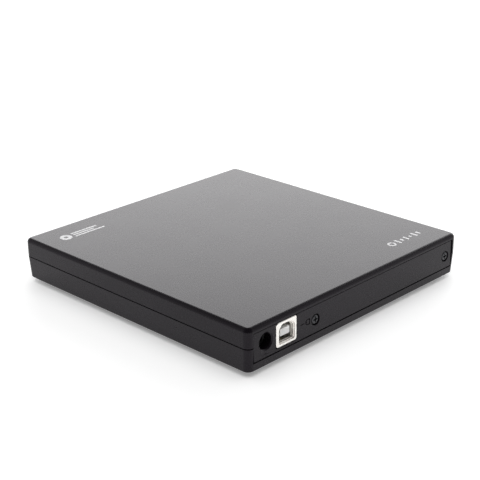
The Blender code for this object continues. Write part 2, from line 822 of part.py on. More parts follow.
def bezel_cutter(name, x, wide, tall):
    """A cutter through the bezel, with the usual gap round what stands in it."""
    return box(
        name,
        (x - wide / 2 - GAP, FRONT - CUT_PAST, DRIVE_MIDDLE - tall / 2 - GAP),
        (x + wide / 2 + GAP, FRONT + BEZEL_DEPTH + CUT_PAST, DRIVE_MIDDLE + tall / 2 + GAP),
    )


def make_bezel():
    half = BEZEL_WIDTH / 2
    low = DRIVE_MIDDLE - BEZEL_HEIGHT / 2
    back = FRONT + BEZEL_DEPTH
    bezel = box("tray_bezel", (-half, FRONT, low), (half, back, low + BEZEL_HEIGHT), "casing", BEZEL_EDGE)
    button_hole = bezel_cutter("button_hole", BUTTON_X, BUTTON_WIDTH, BUTTON_TALL)
    light_hole = bezel_cutter("light_hole", LIGHT_X, LIGHT_WIDTH, LIGHT_TALL)
    pin_hole = cylinder(
        "emergency_hole",
        PIN_HOLE_RADIUS,
        (PIN_HOLE_X, FRONT - CUT_PAST, DRIVE_MIDDLE),
        (PIN_HOLE_X, FRONT + BEZEL_DEPTH + CUT_PAST, DRIVE_MIDDLE),
        axis="Y",
        segments=16,
    )
    cut(bezel, button_hole, light_hole, pin_hole)
    inner = FRONT + BUTTON_DEPTH - BUTTON_PROUD_GAP
    box(
        "eject_button",
        (BUTTON_X - BUTTON_WIDTH / 2, FRONT + BUTTON_PROUD_GAP, DRIVE_MIDDLE - BUTTON_TALL / 2),
        (BUTTON_X + BUTTON_WIDTH / 2, inner, DRIVE_MIDDLE + BUTTON_TALL / 2),
        "casing",
        BEZEL_EDGE / 2,
    )
    box(
        "activity_light",
        (LIGHT_X - LIGHT_WIDTH / 2, FRONT + BUTTON_PROUD_GAP, DRIVE_MIDDLE - LIGHT_TALL / 2),
        (LIGHT_X + LIGHT_WIDTH / 2, FRONT + BEZEL_DEPTH, DRIVE_MIDDLE + LIGHT_TALL / 2),
        "light_window",
    )


def make_mechanism_frame(mechanism):
    outer = offset_outline(in_metres(MECHANISM_OUTLINE), FRAME_LAP)
    frame = prism("mechanism_frame", outer, MECHANISM_LOW, MECHANISM_TOP, "plated_steel", mechanism)
    past_low = MECHANISM_LOW - CUT_PAST
    past_high = MECHANISM_TOP + CUT_PAST
    window = prism("sled_window", in_metres(WINDOW_OUTLINE), past_low, past_high, parent=mechanism)
    top = (0, 0, past_high)
    motor_hole = cylinder("motor_hole", MOTOR_RADIUS + GAP, (0, 0, past_low), top, parent=mechanism)
    screw_end = WINDOW_OUTLINE[0][0] * MM
    channel = box(
        "motor_channel",
        (SLED_MOTOR_START - GAP, SCREW_V - SLED_MOTOR_WIDTH / 2 - GAP, past_low),
        (screw_end + GAP, SCREW_V + SLED_MOTOR_WIDTH / 2 + GAP, past_high),
        parent=mechanism,
    )
    cut(frame, window, motor_hole, channel)
    start = ROD_START
    for label, v, end in (("far", ROD_FAR_V, ROD_FAR_END), ("near", ROD_NEAR_V, ROD_NEAR_END)):
        rod_z = MECHANISM_LOW + ROD_LEVEL
        seat = box(
            f"rod_seat_{label}",
            (start - GAP, v - ROD_RADIUS - GAP, rod_z - ROD_RADIUS - GAP),
            (end + GAP, v + ROD_RADIUS + GAP, past_high),
            parent=mechanism,
        )
        cut(frame, seat)
        tip = (end, v, rod_z)
        cylinder(f"guide_rod_{label}", ROD_RADIUS, (start, v, rod_z), tip, "steel", "X", 16, mechanism)
    cover = prism(
        "mechanism_cover",
        offset_outline(in_metres(MECHANISM_OUTLINE), -GAP),
        TRAY_LOW + GAP,
        TRAY_LOW + GAP + SHEET,
        "black_plastic",
        mechanism,
    )
    base = TRAY_LOW - CUT_PAST
    radius = TURNTABLE_RADIUS + 2 * GAP
    hub_hole = cylinder("hub_hole", radius, (0, 0, base), (0, 0, TRAY_TOP), parent=mechanism)
    far_corner = (LENS_SLOT_END, LENS_SLOT_FAR_V, TRAY_TOP)
    slot = box("lens_slot", (HUB_RADIUS, LENS_SLOT_NEAR_V, base), far_corner, parent=mechanism)
    cut(cover, hub_hole, slot)
    inside = offset_outline(in_metres(WINDOW_OUTLINE), -GAP)
    prism("mechanism_shield", inside, MECHANISM_LOW, MECHANISM_LOW + SHIELD, "plated_steel", mechanism)


def make_spindle(mechanism):
    base = MECHANISM_LOW
    turned(
        "motor_base",
        ((0, base + MOTOR_FLOOR), (MOTOR_RADIUS, base + MOTOR_FLOOR), (MOTOR_RADIUS, base), (0, base)),
        "steel",
        parent=mechanism,
    )
    rotor_low = base + MOTOR_FLOOR + GAP
    rotor_high = TRAY_LOW + GAP
    turned(
        "motor_rotor",
        (
            (0, rotor_high),
            (ROTOR_RADIUS - ROTOR_EDGE, rotor_high),
            (ROTOR_RADIUS, rotor_high - ROTOR_EDGE),
            (ROTOR_RADIUS, rotor_low),
            (0, rotor_low),
        ),
        "steel",
        parent=mechanism,
    )
    table_low = rotor_high + GAP
    hub_low = DISC_Z - TURNTABLE_THICKNESS
    turntable = turned(
        "turntable",
        (
            (0, DISC_Z + HUB_RISE),
            (HUB_RADIUS - HUB_EDGE, DISC_Z + HUB_RISE),
            (HUB_RADIUS, DISC_Z + HUB_RISE - HUB_EDGE),
            (HUB_RADIUS, DISC_Z),
            (TURNTABLE_RADIUS, DISC_Z),
            (TURNTABLE_RADIUS, hub_low),
            (HUB_RADIUS, hub_low),
            (HUB_RADIUS, table_low),
            (0, table_low),
        ),
        "turntable_plastic",
        segments=36,
        parent=mechanism,
    )
    claw_level = DISC_Z + HUB_RISE - CLAW_TALL - CLAW_SINK
    for number in range(3):
        turn = math.radians(120 * number)
        slot = box(
            f"claw_slot_{number + 1}",
            (HUB_RADIUS - CLAW_LENGTH - CLAW_TRAVEL - GAP, -CLAW_WIDTH / 2 - GAP, claw_level - GAP),
            (HUB_RADIUS + CUT_PAST, CLAW_WIDTH / 2 + GAP, DISC_Z + HUB_RISE + CUT_PAST),
            parent=mechanism,
        )
        claw = box(
            f"hub_claw_{number + 1}",
            (HUB_RADIUS - CLAW_LENGTH, -CLAW_WIDTH / 2, claw_level),
            (HUB_RADIUS + GAP, CLAW_WIDTH / 2, claw_level + CLAW_TALL),
            "turntable_plastic",
            parent=mechanism,
        )
        for piece in (slot, claw):
            piece.location = Matrix.Rotation(turn, 3, "Z") @ piece.location
            piece.rotation_euler = (0, 0, turn)
        cut(turntable, slot)


def make_pickup(mechanism):
    """The laser sled on its two rods, driven by the screw beside it."""
    u = LENS_HOME
    rod_z = MECHANISM_LOW + ROD_LEVEL
    low = MECHANISM_LOW + MOTOR_FLOOR
    high = MECHANISM_TOP - GAP
    sled = sled_block("pickup_carriage", SLED_LENGTH, SLED_NEAR_V, SLED_FAR_V, mechanism, "cast_metal")
    far_end = ROD_FAR_V + ROD_COLLAR
    near_end = ROD_NEAR_V - ROD_COLLAR
    arm = sled_block("far_arm", ARM_LENGTH, SLED_FAR_V - GAP, far_end, mechanism)
    hook = sled_block("near_hook", HOOK_LENGTH, near_end, SLED_NEAR_V + GAP, mechanism)
    nut = sled_block("screw_nut", NUT_LENGTH, SCREW_V - SCREW_ROD_RADIUS - GAP, near_end + GAP, mechanism)
    join(sled, arm, hook, nut)
    for label, v, radius in (
        ("far", ROD_FAR_V, ROD_RADIUS),
        ("near", ROD_NEAR_V, ROD_RADIUS),
        ("screw", SCREW_V, SCREW_ROD_RADIUS),
    ):
        bore = cylinder(
            f"sled_bore_{label}",
            radius + GAP / 2,
            (u - SLED_LENGTH, v, rod_z),
            (u + SLED_LENGTH, v, rod_z),
            axis="X",
            segments=24,
            parent=mechanism,
        )
        cut(sled, bore)
    start = (SLED_MOTOR_END + GAP, SCREW_V, rod_z)
    end = (LEAD_SCREW_END, SCREW_V, rod_z)
    cylinder("lead_screw", SCREW_ROD_RADIUS, start, end, "steel", "X", 24, mechanism)
    box(
        "sled_motor",
        (SLED_MOTOR_START, SCREW_V - SLED_MOTOR_WIDTH / 2, MECHANISM_LOW),
        (SLED_MOTOR_END, SCREW_V + SLED_MOTOR_WIDTH / 2, MECHANISM_TOP),
        "steel",
        BEZEL_EDGE,
        mechanism,
    )
    make_lens(mechanism, high + LENS_LIFT)


def sled_block(name, length, near_v, far_v, mechanism, finish=None):
    """One block of the sled, centred on the lens along the rods."""
    low = MECHANISM_LOW + MOTOR_FLOOR
    high = MECHANISM_TOP - GAP
    start = LENS_HOME - length / 2
    return box(name, (start, near_v, low), (start + length, far_v, high), finish, parent=mechanism)


def make_lens(mechanism, low):
    """The sprung holder over the sled and the lens that sits in it."""
    u = LENS_HOME
    high = DISC_Z - LENS_BELOW_DISC
    holder = box(
        "lens_holder",
        (u - HOLDER_LENGTH / 2, -HOLDER_WIDTH / 2, low),
        (u + HOLDER_LENGTH / 2, HOLDER_WIDTH / 2, high),
        "black_plastic",
        HOLDER_EDGE,
        mechanism,
    )
    seat = cylinder(
        "lens_seat",
        LENS_RADIUS + GAP,
        (u, 0, high - LENS_SINK),
        (u, 0, high + CUT_PAST),
        segments=24,
        parent=mechanism,
    )
    cut(holder, seat)
    base = high - LENS_SINK + GAP
    profile = (
        (0, base + LENS_TALL),
        (LENS_RADIUS * 0.6, base + LENS_TALL * 0.83),
        (LENS_RADIUS, base + LENS_TALL / 3),
        (LENS_RADIUS, base),
        (0, base),
    )
    turned("lens", profile, "lens_glass", (u, 0, 0), 24, mechanism)


def make_latch():
    """The hook lever under the tray, drawn released beside the fixed pin that it catches."""
    low = MECHANISM_LOW + LATCH_LEVEL
    high = low + LATCH_THICKNESS
    pivot = LATCH_PIVOT
    pin = LATCH_PIN
    reach = pin.x - LATCH_PIN_RADIUS - GAP - pivot.x
    drop = pin.y - pivot.y
    half = LATCH_HUB / 2
    inner = reach - LATCH_ARM
    outline = [
        (-half, -half),
        (half, -half),
        (inner, drop + LATCH_HOOK / 4),
        (inner, drop - LATCH_HOOK / 2),
        (reach - GAP, drop + LATCH_HOOK),
        (reach - GAP, drop + 2 * LATCH_HOOK),
        (half, half),
        (-half, half),
    ]
    lever = prism("latch_lever", outline, low, high, "white_plastic")
    lever.location.x = pivot.x
    lever.location.y = pivot.y
    solenoid_end = pivot.x - half - LATCH_ARM + GAP
    box(
        "latch_solenoid",
        (solenoid_end - SOLENOID_LENGTH, pivot.y - SOLENOID_WIDTH / 2, low),
        (solenoid_end, pivot.y + SOLENOID_WIDTH / 2, TRAY_LOW - GAP),
        "steel",
        BEZEL_EDGE / 2,
    )
    foot = (pin.x, pin.y, DRIVE_LOW + SHEET + GAP)
    cylinder("latch_pin", LATCH_PIN_RADIUS, foot, (pin.x, pin.y, high), "steel", segments=16)


def ejector_front():
    return DRIVE_BACK - EJECTOR_LENGTH


def make_ejector():
    """A sprung plunger in a housing behind the tray's rib, which starts the tray on its way out."""
    front = ejector_front()
    x = EJECTOR_X
    back = DRIVE_BACK - SHEET - GAP
    side = PLUNGER_WIDTH / 2
    rise = PLUNGER_TALL / 2
    housing = box(
        "ejector_housing",
        (x - side - EJECTOR_SIDE_WALL, front + EJECTOR_TRAVEL, EJECTOR_Z - rise - EJECTOR_FLOOR),
        (x + side + EJECTOR_SIDE_WALL, back, EJECTOR_Z + rise + EJECTOR_FLOOR),
        "black_plastic",
    )
    bore = box(
        "ejector_bore",
        (x - side - GAP, front, EJECTOR_Z - rise - GAP),
        (x + side + GAP, back - SHEET, EJECTOR_Z + rise + GAP),
    )
    cut(housing, bore)
    box(
        "ejector_plunger",
        (x - side, front, EJECTOR_Z - rise),
        (x + side, back - SHEET - GAP - EJECTOR_TRAVEL, EJECTOR_Z + rise),
        "white_plastic",
    )


def make_main_board():
    low = DRIVE_LOW + BOARD_LEVEL
    high = low + BOARD_THICKNESS
    back = DRIVE_BACK - SHEET - GAP
    half = DRIVE_WIDTH / 2 - SHEET - BOARD_INSET
    box("main_board", (-half, back - BOARD_DEPTH, low), (half, back, high), "board_green")
    y = back - MAIN_CHIP_FROM_BACK
    base = high + GAP
    box(
        "main_chip",
        (-MAIN_CHIP[0] / 2, y - MAIN_CHIP[1] / 2, base),
        (MAIN_CHIP[0] / 2, y + MAIN_CHIP[1] / 2, base + MAIN_CHIP[2]),
        "chip_black",
    )


def make_flex_cable():
    """A flat cable from the board, forward along the chassis, round a loop and back under the tray."""
    low = DRIVE_LOW + SHEET + GAP + FLEX_THICKNESS / 2
    high = TRAY_LOW - GAP - FLEX_THICKNESS / 2
    radius = (high - low) / 2
    rear = DRIVE_BACK - SHEET - BOARD_DEPTH - 2 * GAP
    turn = [math.radians(90 + 18 * step) for step in range(11)]
    path = [(rear, low)]
    middle = (low + high) / 2
    path += [(FLEX_LOOP_Y + radius * math.cos(a), middle - radius * math.sin(a)) for a in turn]
    path += [(rear - FLEX_SHORTER, high)]
    shape = bmesh.new()
    rows = [[shape.verts.new((x, y, z)) for x in (-FLEX_WIDTH / 2, FLEX_WIDTH / 2)] for y, z in path]
    for first, second in zip(rows, rows[1:]):
        shape.faces.new((first[0], first[1], second[1], second[0]))
    cable = add("flex_cable", mesh_of(shape, "flex_cable"), "flex_orange", (FLEX_X, 0, 0))
    solid = cable.modifiers.new("Thickness", "SOLIDIFY")
    solid.thickness = FLEX_THICKNESS
    solid.offset = 0
    return cable


def make_drive():
    tray_frame = bpy.data.objects.new("mechanism_origin", None)
    PARTS.objects.link(tray_frame)
    tray_frame.location = (0, SPINDLE_Y, 0)
    tray_frame.rotation_euler = (0, 0, MECHANISM_TURN)
    make_chassis()
    make_runners()
    make_tray(tray_frame)
    make_bezel()
    make_mechanism_frame(tray_frame)
    make_spindle(tray_frame)
    make_pickup(tray_frame)
    make_latch()
    make_ejector()
    make_main_board()
    make_flex_cable()


clear_scene()
PARTS = new_collection("external_optical_drive")
CUTTERS = new_collection("cutters", hidden=True)
FINISHES = {
    "casing": material("casing", (0.035, 0.033, 0.035), 0.35),
    "rubber": material("rubber", (0.02, 0.02, 0.02), 0.8),
    "screw_steel": material("screw_steel", (0.12, 0.12, 0.13), 0.35, 1.0),
    "bright_metal": material("bright_metal", (0.75, 0.75, 0.74), 0.25, 1.0),
    "white_plastic": material("white_plastic", (0.8, 0.8, 0.78), 0.45),
    "gold_contact": material("gold_contact", (0.8, 0.6, 0.25), 0.3, 1.0),
    "black_plastic": material("black_plastic", (0.02, 0.02, 0.02), 0.45),
    "board_green": material("board_green", (0.02, 0.12, 0.05), 0.4),
    "chip_black": material("chip_black", (0.03, 0.03, 0.03), 0.5),
    "plated_steel": material("plated_steel", (0.6, 0.61, 0.62), 0.4, 1.0),
    "steel": material("steel", (0.55, 0.56, 0.57), 0.3, 1.0),
    "cast_metal": material("cast_metal", (0.45, 0.45, 0.46), 0.5, 1.0),
    "tray_plastic": material("tray_plastic", (0.045, 0.045, 0.047), 0.5),
    "turntable_plastic": material("turntable_plastic", (0.05, 0.05, 0.05), 0.5),
    "lens_glass": material("lens_glass", (0.5, 0.6, 0.8), 0.05, transmission=0.8),
    "light_window": material("light_window", (0.2, 0.6, 0.15), 0.3),
    "flex_orange": material("flex_orange", (0.55, 0.25, 0.06), 0.4),
}
make_casing()
make_rear_panel()
make_usb_socket()
make_dc_jack()
make_bridge_board()
make_drive()
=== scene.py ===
"""Looks of an external optical drive: casing, socket panel, tray, laser mechanism and studio stage.

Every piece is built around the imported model, which gives the places and sizes of all nodes.
"""

import math

import bmesh
import bpy
from mathutils import Matrix, Vector


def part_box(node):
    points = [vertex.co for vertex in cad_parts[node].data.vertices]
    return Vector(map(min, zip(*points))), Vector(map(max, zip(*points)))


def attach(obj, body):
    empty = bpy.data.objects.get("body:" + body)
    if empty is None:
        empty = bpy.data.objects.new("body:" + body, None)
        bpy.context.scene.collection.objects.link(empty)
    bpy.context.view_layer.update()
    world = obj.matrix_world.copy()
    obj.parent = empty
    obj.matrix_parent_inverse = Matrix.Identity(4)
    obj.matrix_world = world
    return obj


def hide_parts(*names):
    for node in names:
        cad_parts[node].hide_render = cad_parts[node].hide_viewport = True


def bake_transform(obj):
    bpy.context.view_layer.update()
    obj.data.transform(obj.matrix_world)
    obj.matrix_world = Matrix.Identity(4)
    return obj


bl_info = {
    "name": "External Optical Drive",
    "version": (1, 0, 0),
    "blender": (4, 5, 0),
    "location": "View3D > Sidebar > Optical Drive",
    "description": "Builds the looks of an external optical drive around its packed model",
    "category": "Object",
}

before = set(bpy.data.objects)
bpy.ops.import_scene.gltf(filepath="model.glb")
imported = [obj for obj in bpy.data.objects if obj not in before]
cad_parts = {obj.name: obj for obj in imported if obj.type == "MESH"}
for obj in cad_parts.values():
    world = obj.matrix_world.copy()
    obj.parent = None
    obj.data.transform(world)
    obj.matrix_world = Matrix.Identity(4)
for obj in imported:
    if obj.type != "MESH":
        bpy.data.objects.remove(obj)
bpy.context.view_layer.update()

GAP = 0.0003
SKIN = 0.00002
PAST = 0.001
ROUND_STEPS = 64
TRAY_FLOOR = 0.0016
TRAY_RIM = 0.006
DISC_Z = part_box("turntable")[1].z - 0.0019


# ---------------------------------------------------------------- settings


class OpticalDriveCasing(bpy.types.PropertyGroup):
    colour: bpy.props.FloatVectorProperty(
        name="Colour",
        description="Colour of the moulded casing",
        subtype="COLOR",
        default=(0.0052, 0.0040, 0.0057),
    )
    roughness: bpy.props.FloatProperty(
        name="Roughness", description="Satin of the casing, 0 for mirror gloss", default=0.27, min=0, max=1
    )
    corner_radius: bpy.props.FloatProperty(
        name="Corner Radius", description="Radius of the upright corners", default=0.003, unit="LENGTH"
    )
    edge_radius: bpy.props.FloatProperty(
        name="Edge Radius", description="Radius around the top", default=0.002, unit="LENGTH"
    )
    lower_edge_radius: bpy.props.FloatProperty(
        name="Lower Edge Radius", description="Radius around the underside", default=0.0006, unit="LENGTH"
    )
    draft: bpy.props.FloatProperty(
        name="Draft", description="How far the lower sides lean in", default=0.0006, unit="LENGTH"
    )
    top_wall: bpy.props.FloatProperty(
        name="Top Wall", description="Wall of the upper shell", default=0.002, unit="LENGTH"
    )
    bottom_wall: bpy.props.FloatProperty(
        name="Bottom Wall", description="Wall of the lower shell", default=0.0024, unit="LENGTH"
    )
    seam: bpy.props.FloatProperty(
        name="Seam", description="Dark gap between the two shells", default=0.00048, unit="LENGTH"
    )
    mark_colour: bpy.props.FloatVectorProperty(
        name="Mark Colour",
        description="Colour of the printed marks",
        subtype="COLOR",
        default=(0.62, 0.62, 0.63),
    )


class OpticalDrivePanel(bpy.types.PropertyGroup):
    gap: bpy.props.FloatProperty(
        name="Gap", description="Dark gap around the socket panel", default=0.00045, unit="LENGTH"
    )
    low: bpy.props.FloatProperty(
        name="Lower Edge",
        description="Height of the opening's lower edge in the casing",
        default=0.0035,
        unit="LENGTH",
    )
    height: bpy.props.FloatProperty(
        name="Height", description="Height of the socket panel's opening", default=0.0134, unit="LENGTH"
    )
    dc_radius: bpy.props.FloatProperty(
        name="DC Hole Radius", description="Radius of the power inlet's hole", default=0.0035, unit="LENGTH"
    )
    usb_opening: bpy.props.FloatVectorProperty(
        name="USB Opening",
        description="Width and height of the socket's mouth",
        size=2,
        default=(0.00845, 0.00778),
        unit="LENGTH",
    )
    usb_slope: bpy.props.FloatProperty(
        name="USB Slope",
        description="How far the mouth's upper corners are sloped",
        default=0.0019,
        unit="LENGTH",
    )


class OpticalDriveTray(bpy.types.PropertyGroup):
    disc_radius: bpy.props.FloatProperty(
        name="Disc Well Radius",
        description="Radius of the well for a full disc",
        default=0.061,
        unit="LENGTH",
    )
    small_disc_radius: bpy.props.FloatProperty(
        name="Small Disc Radius",
        description="Radius of the step for a small disc",
        default=0.0405,
        unit="LENGTH",
    )
    colour: bpy.props.FloatVectorProperty(
        name="Colour",
        description="Colour of the tray's plastic",
        subtype="COLOR",
        default=(0.030, 0.030, 0.032),
    )


class OpticalDriveStudio(bpy.types.PropertyGroup):
    azimuth: bpy.props.FloatProperty(
        name="Azimuth",
        description="Camera's direction, from the back towards the right side",
        subtype="ANGLE",
        default=math.radians(45.503),
    )
    elevation: bpy.props.FloatProperty(
        name="Elevation",
        description="Camera's height over the horizon",
        subtype="ANGLE",
        default=math.radians(21.983),
    )
    roll: bpy.props.FloatProperty(
        name="Roll",
        description="Camera's turn about its own axis",
        subtype="ANGLE",
        default=math.radians(-0.777),
    )
    distance: bpy.props.FloatProperty(
        name="Distance",
        description="Camera's distance from the middle of the footprint",
        default=0.55162,
        unit="LENGTH",
    )
    aim: bpy.props.FloatVectorProperty(
        name="Aim",
        description="Camera's shift across and up, in its own plane",
        size=2,
        default=(-0.000283, 0.017027),
        unit="LENGTH",
    )
    lens: bpy.props.FloatProperty(name="Lens", description="Focal length in millimetres", default=88.4)
    backdrop: bpy.props.FloatProperty(
        name="Backdrop", description="Strength of the pale surroundings", default=0.92
    )
    overhead: bpy.props.FloatProperty(
        name="Overhead", description="Strength of the surroundings straight above", default=0.06
    )
    near_side: bpy.props.FloatProperty(
        name="Near Side", description="Share of the surroundings' light on the camera's side", default=0.12
    )
    floor_glow: bpy.props.FloatProperty(
        name="Floor Glow", description="Light the pale floor gives off by itself", default=0.24
    )
    panel_light: bpy.props.FloatProperty(
        name="Panel Light",
        description="Power of the big soft panel behind the drive",
        subtype="POWER",
        default=8.0,
    )
    top_light: bpy.props.FloatProperty(
        name="Top Light", description="Power of the wide soft light above", subtype="POWER", default=92
    )


SETTINGS = (OpticalDriveCasing, OpticalDrivePanel, OpticalDriveTray, OpticalDriveStudio)


# ---------------------------------------------------------------- mesh tools


def put(name, shape, collection=None):
    """A new object at the origin from a bmesh that is already in its place."""
    mesh = bpy.data.meshes.new(name)
    bmesh.ops.recalc_face_normals(shape, faces=shape.faces)
    shape.to_mesh(mesh)
    shape.free()
    piece = bpy.data.objects.new(name, mesh)
    (collection or bpy.context.scene.collection).objects.link(piece)
    return piece


def round_edges(shape, edges, offset, segments):
    bmesh.ops.bevel(
        shape, geom=edges, offset=offset, segments=segments, profile=0.5, affect="EDGES", material=-1
    )


def block_shape(low, high, radius=0.0, segments=3):
    low = Vector(low)
    high = Vector(high)
    shape = bmesh.new()
    size = high - low
    bmesh.ops.create_cube(
        shape, size=1, matrix=Matrix.Translation((low + high) / 2) @ Matrix.Diagonal((*size, 1))
    )
    if radius:
        round_edges(shape, list(shape.edges), radius, segments)
    return shape


def block(name, low, high, radius=0.0, segments=3):
    return put(name, block_shape(low, high, radius, segments))


def post(name, radius, low, high, steps=ROUND_STEPS):
    """A plain cylinder between two points on one line."""
    low = Vector(low)
    high = Vector(high)
    run = high - low
    shape = bmesh.new()
    turn = run.to_track_quat("Z", "Y").to_matrix().to_4x4()
    bmesh.ops.create_cone(
        shape,
        cap_ends=True,
        segments=steps,
        radius1=radius,
        radius2=radius,
        depth=run.length,
        matrix=Matrix.Translation((low + high) / 2) @ turn,
    )
    return put(name, shape)


def turned(name, profile, centre, axis=(0, 0, 1), steps=ROUND_STEPS):
    """A profile of (radius, height) points spun a full turn about an axis through centre."""
    shape = bmesh.new()
    verts = [shape.verts.new((radius, 0, height)) for radius, height in profile]
    edges = [shape.edges.new(pair) for pair in zip(verts, verts[1:])]
    bmesh.ops.spin(
        shape,
        geom=verts + edges,
        cent=(0, 0, 0),
        axis=(0, 0, 1),
        angle=math.tau,
        steps=steps,
        use_merge=True,
    )
    bmesh.ops.remove_doubles(shape, verts=shape.verts, dist=1e-6)
    turn = Vector(axis).to_track_quat("Z", "Y").to_matrix().to_4x4()
    bmesh.ops.transform(shape, matrix=Matrix.Translation(centre) @ turn, verts=shape.verts)
    return put(name, shape)


def plate_shape(outline, low, high):
    """An outline in X and Y with a thickness from low to high."""
    shape = bmesh.new()
    verts = [shape.verts.new((x, y, low)) for x, y in outline]
    face = shape.faces.new(verts)
    raised = bmesh.ops.extrude_face_region(shape, geom=[face])["geom"]
    risen = [item for item in raised if isinstance(item, bmesh.types.BMVert)]
    bmesh.ops.translate(shape, vec=(0, 0, high - low), verts=risen)
    return shape


def plate(name, outline, low, high, place=None):
    shape = plate_shape(outline, low, high)
    if place:
        bmesh.ops.transform(shape, matrix=place, verts=shape.verts)
    return put(name, shape)


def settle(piece):
    """Replaces a piece's mesh by what its modifiers make of it."""
    bpy.context.view_layer.update()
    graph = bpy.context.evaluated_depsgraph_get()
    mesh = bpy.data.meshes.new_from_object(piece.evaluated_get(graph))
    piece.modifiers.clear()
    old = piece.data
    piece.data = mesh
    bpy.data.meshes.remove(old)
    return piece


def clear_away(piece):
    mesh = piece.data
    bpy.data.objects.remove(piece, do_unlink=True)
    bpy.data.meshes.remove(mesh)


def carve(piece, *tools, operation="DIFFERENCE"):
    """Cuts the tools from a piece, or joins them to it, and clears them away."""
    for tool in tools:
        change = piece.modifiers.new("Carve", "BOOLEAN")
        change.operation = operation
        change.solver = "EXACT"
        change.object = tool
    settle(piece)
    for tool in tools:
        clear_away(tool)
    return piece


def soften(piece, angle=35.0, edge=0.0, segments=2):
    """Rounds sharp edges a little, shades the piece smooth and keeps its flats flat."""
    if edge:
        bevel = piece.modifiers.new("Edges", "BEVEL")
        bevel.width = edge
        bevel.segments = segments
        bevel.limit_method = "ANGLE"
        bevel.angle_limit = math.radians(angle)
        bevel.use_clamp_overlap = True
        settle(piece)
    piece.data.shade_smooth()
    piece.data.set_sharp_from_angle(angle=math.radians(angle))
    normals = piece.modifiers.new("Flats", "WEIGHTED_NORMAL")
    normals.keep_sharp = True
    normals.mode = "FACE_AREA"
    return settle(piece)


def dress(piece, finish, slot, body, *nodes):
    """Gives a finished piece its material, its body and the nodes it stands for. The slot is not used."""
    piece.data.materials.clear()
    piece.data.materials.append(finish)
    if nodes:
        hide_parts(*nodes)
    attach(piece, body)
    return piece


# ---------------------------------------------------------------- materials


class Recipe:
    """A Principled material with the node helpers that the finishes below share."""

    def __init__(self, name, base, roughness, metallic=0.0):
        self.material = bpy.data.materials.new(name)
        self.material.use_nodes = True
        self.tree = self.material.node_tree
        self.shader = self.tree.nodes["Principled BSDF"]
        self.set("Base Color", (*base, 1))
        self.set("Roughness", roughness)
        self.set("Metallic", metallic)
        self.place = self.tree.nodes.new("ShaderNodeTexCoord").outputs["Object"]

    def set(self, socket, value):
        self.shader.inputs[socket].default_value = value

    def link(self, source, target):
        self.tree.links.new(source, target)

    def mapped(self, scale=(1, 1, 1), turn=0.0):
        node = self.tree.nodes.new("ShaderNodeMapping")
        node.inputs["Scale"].default_value = scale
        node.inputs["Rotation"].default_value = (0, 0, turn)
        self.link(self.place, node.inputs["Vector"])
        return node.outputs["Vector"]

    def noise(self, size, detail=3.0, place=None, rough=0.5):
        """Noise whose lumps are about the given size in metres."""
        node = self.tree.nodes.new("ShaderNodeTexNoise")
        node.inputs["Scale"].default_value = 1 / size
        node.inputs["Detail"].default_value = detail
        node.inputs["Roughness"].default_value = rough
        self.link(place or self.place, node.inputs["Vector"])
        return node.outputs["Fac"]

    def between(self, value, low, high, start=0.35, end=0.65):
        node = self.tree.nodes.new("ShaderNodeMapRange")
        node.inputs["From Min"].default_value = start
        node.inputs["From Max"].default_value = end
        node.inputs["To Min"].default_value = low
        node.inputs["To Max"].default_value = high
        self.link(value, node.inputs["Value"])
        return node.outputs["Result"]

    def mix(self, factor, first, second, source=None):
        """A colour between two, by a factor. The source, when given, takes the place of the first."""
        node = self.tree.nodes.new("ShaderNodeMix")
        node.data_type = "RGBA"
        self.link(factor, node.inputs["Factor"])
        node.inputs["A"].default_value = (*first, 1)
        node.inputs["B"].default_value = (*second, 1)
        if source:
            self.link(source, node.inputs["A"])
        return node.outputs["Result"]

    def maths(self, operation, first, second=0.0):
        node = self.tree.nodes.new("ShaderNodeMath")
        node.operation = operation
        for socket, value in zip(node.inputs, (first, second)):
            if isinstance(value, (int, float)):
                socket.default_value = value
            else:
                self.link(value, socket)
        return node.outputs["Value"]

    def colour(self, output):
        self.link(output, self.shader.inputs["Base Color"])
        return self

    def rough(self, output):
        self.link(output, self.shader.inputs["Roughness"])
        return self

    def bump(self, height, depth, strength=1.0):
        """Relief from a height output, whose full range is depth in metres."""
        node = self.tree.nodes.new("ShaderNodeBump")
        node.inputs["Strength"].default_value = strength
        node.inputs["Distance"].default_value = depth
        self.link(height, node.inputs["Height"])
        self.link(node.outputs["Normal"], self.shader.inputs["Normal"])
        return self

    def edge_wear(self, width=0.0004):
        """Bright where the surface turns sharply, from the angle between true and rounded normals."""
        bevel = self.tree.nodes.new("ShaderNodeBevel")
        bevel.inputs["Radius"].default_value = width
        geometry = self.tree.nodes.new("ShaderNodeNewGeometry")
        dot = self.tree.nodes.new("ShaderNodeVectorMath")
        dot.operation = "DOT_PRODUCT"
        self.link(bevel.outputs["Normal"], dot.inputs[0])
        self.link(geometry.outputs["Normal"], dot.inputs[1])
        return self.between(dot.outputs["Value"], 1.0, 0.0, 0.80, 0.995)


def lighter(colour, by):
    return tuple(min(1.0, part * by) for part in colour)


def moulded_plastic(name, base, roughness, grain=0.00022, relief=0.000004, spread=0.06):
    """Injection-moulded plastic: fine spark-erosion grain, faint cloudiness and handling marks."""
    made = Recipe(name, base, roughness)
    cloud = made.noise(0.03, 4)
    made.colour(made.mix(made.between(cloud, 0, 1), lighter(base, 0.86), lighter(base, 1.16)))
    smear = made.noise(0.011, 5)
    fine = made.noise(grain * 2, 2)
    uneven = made.between(smear, roughness - spread / 2, roughness + spread / 2)
    made.rough(made.maths("ADD", uneven, made.between(fine, -0.02, 0.02)))
    return made.bump(made.noise(grain, 3), relief).material


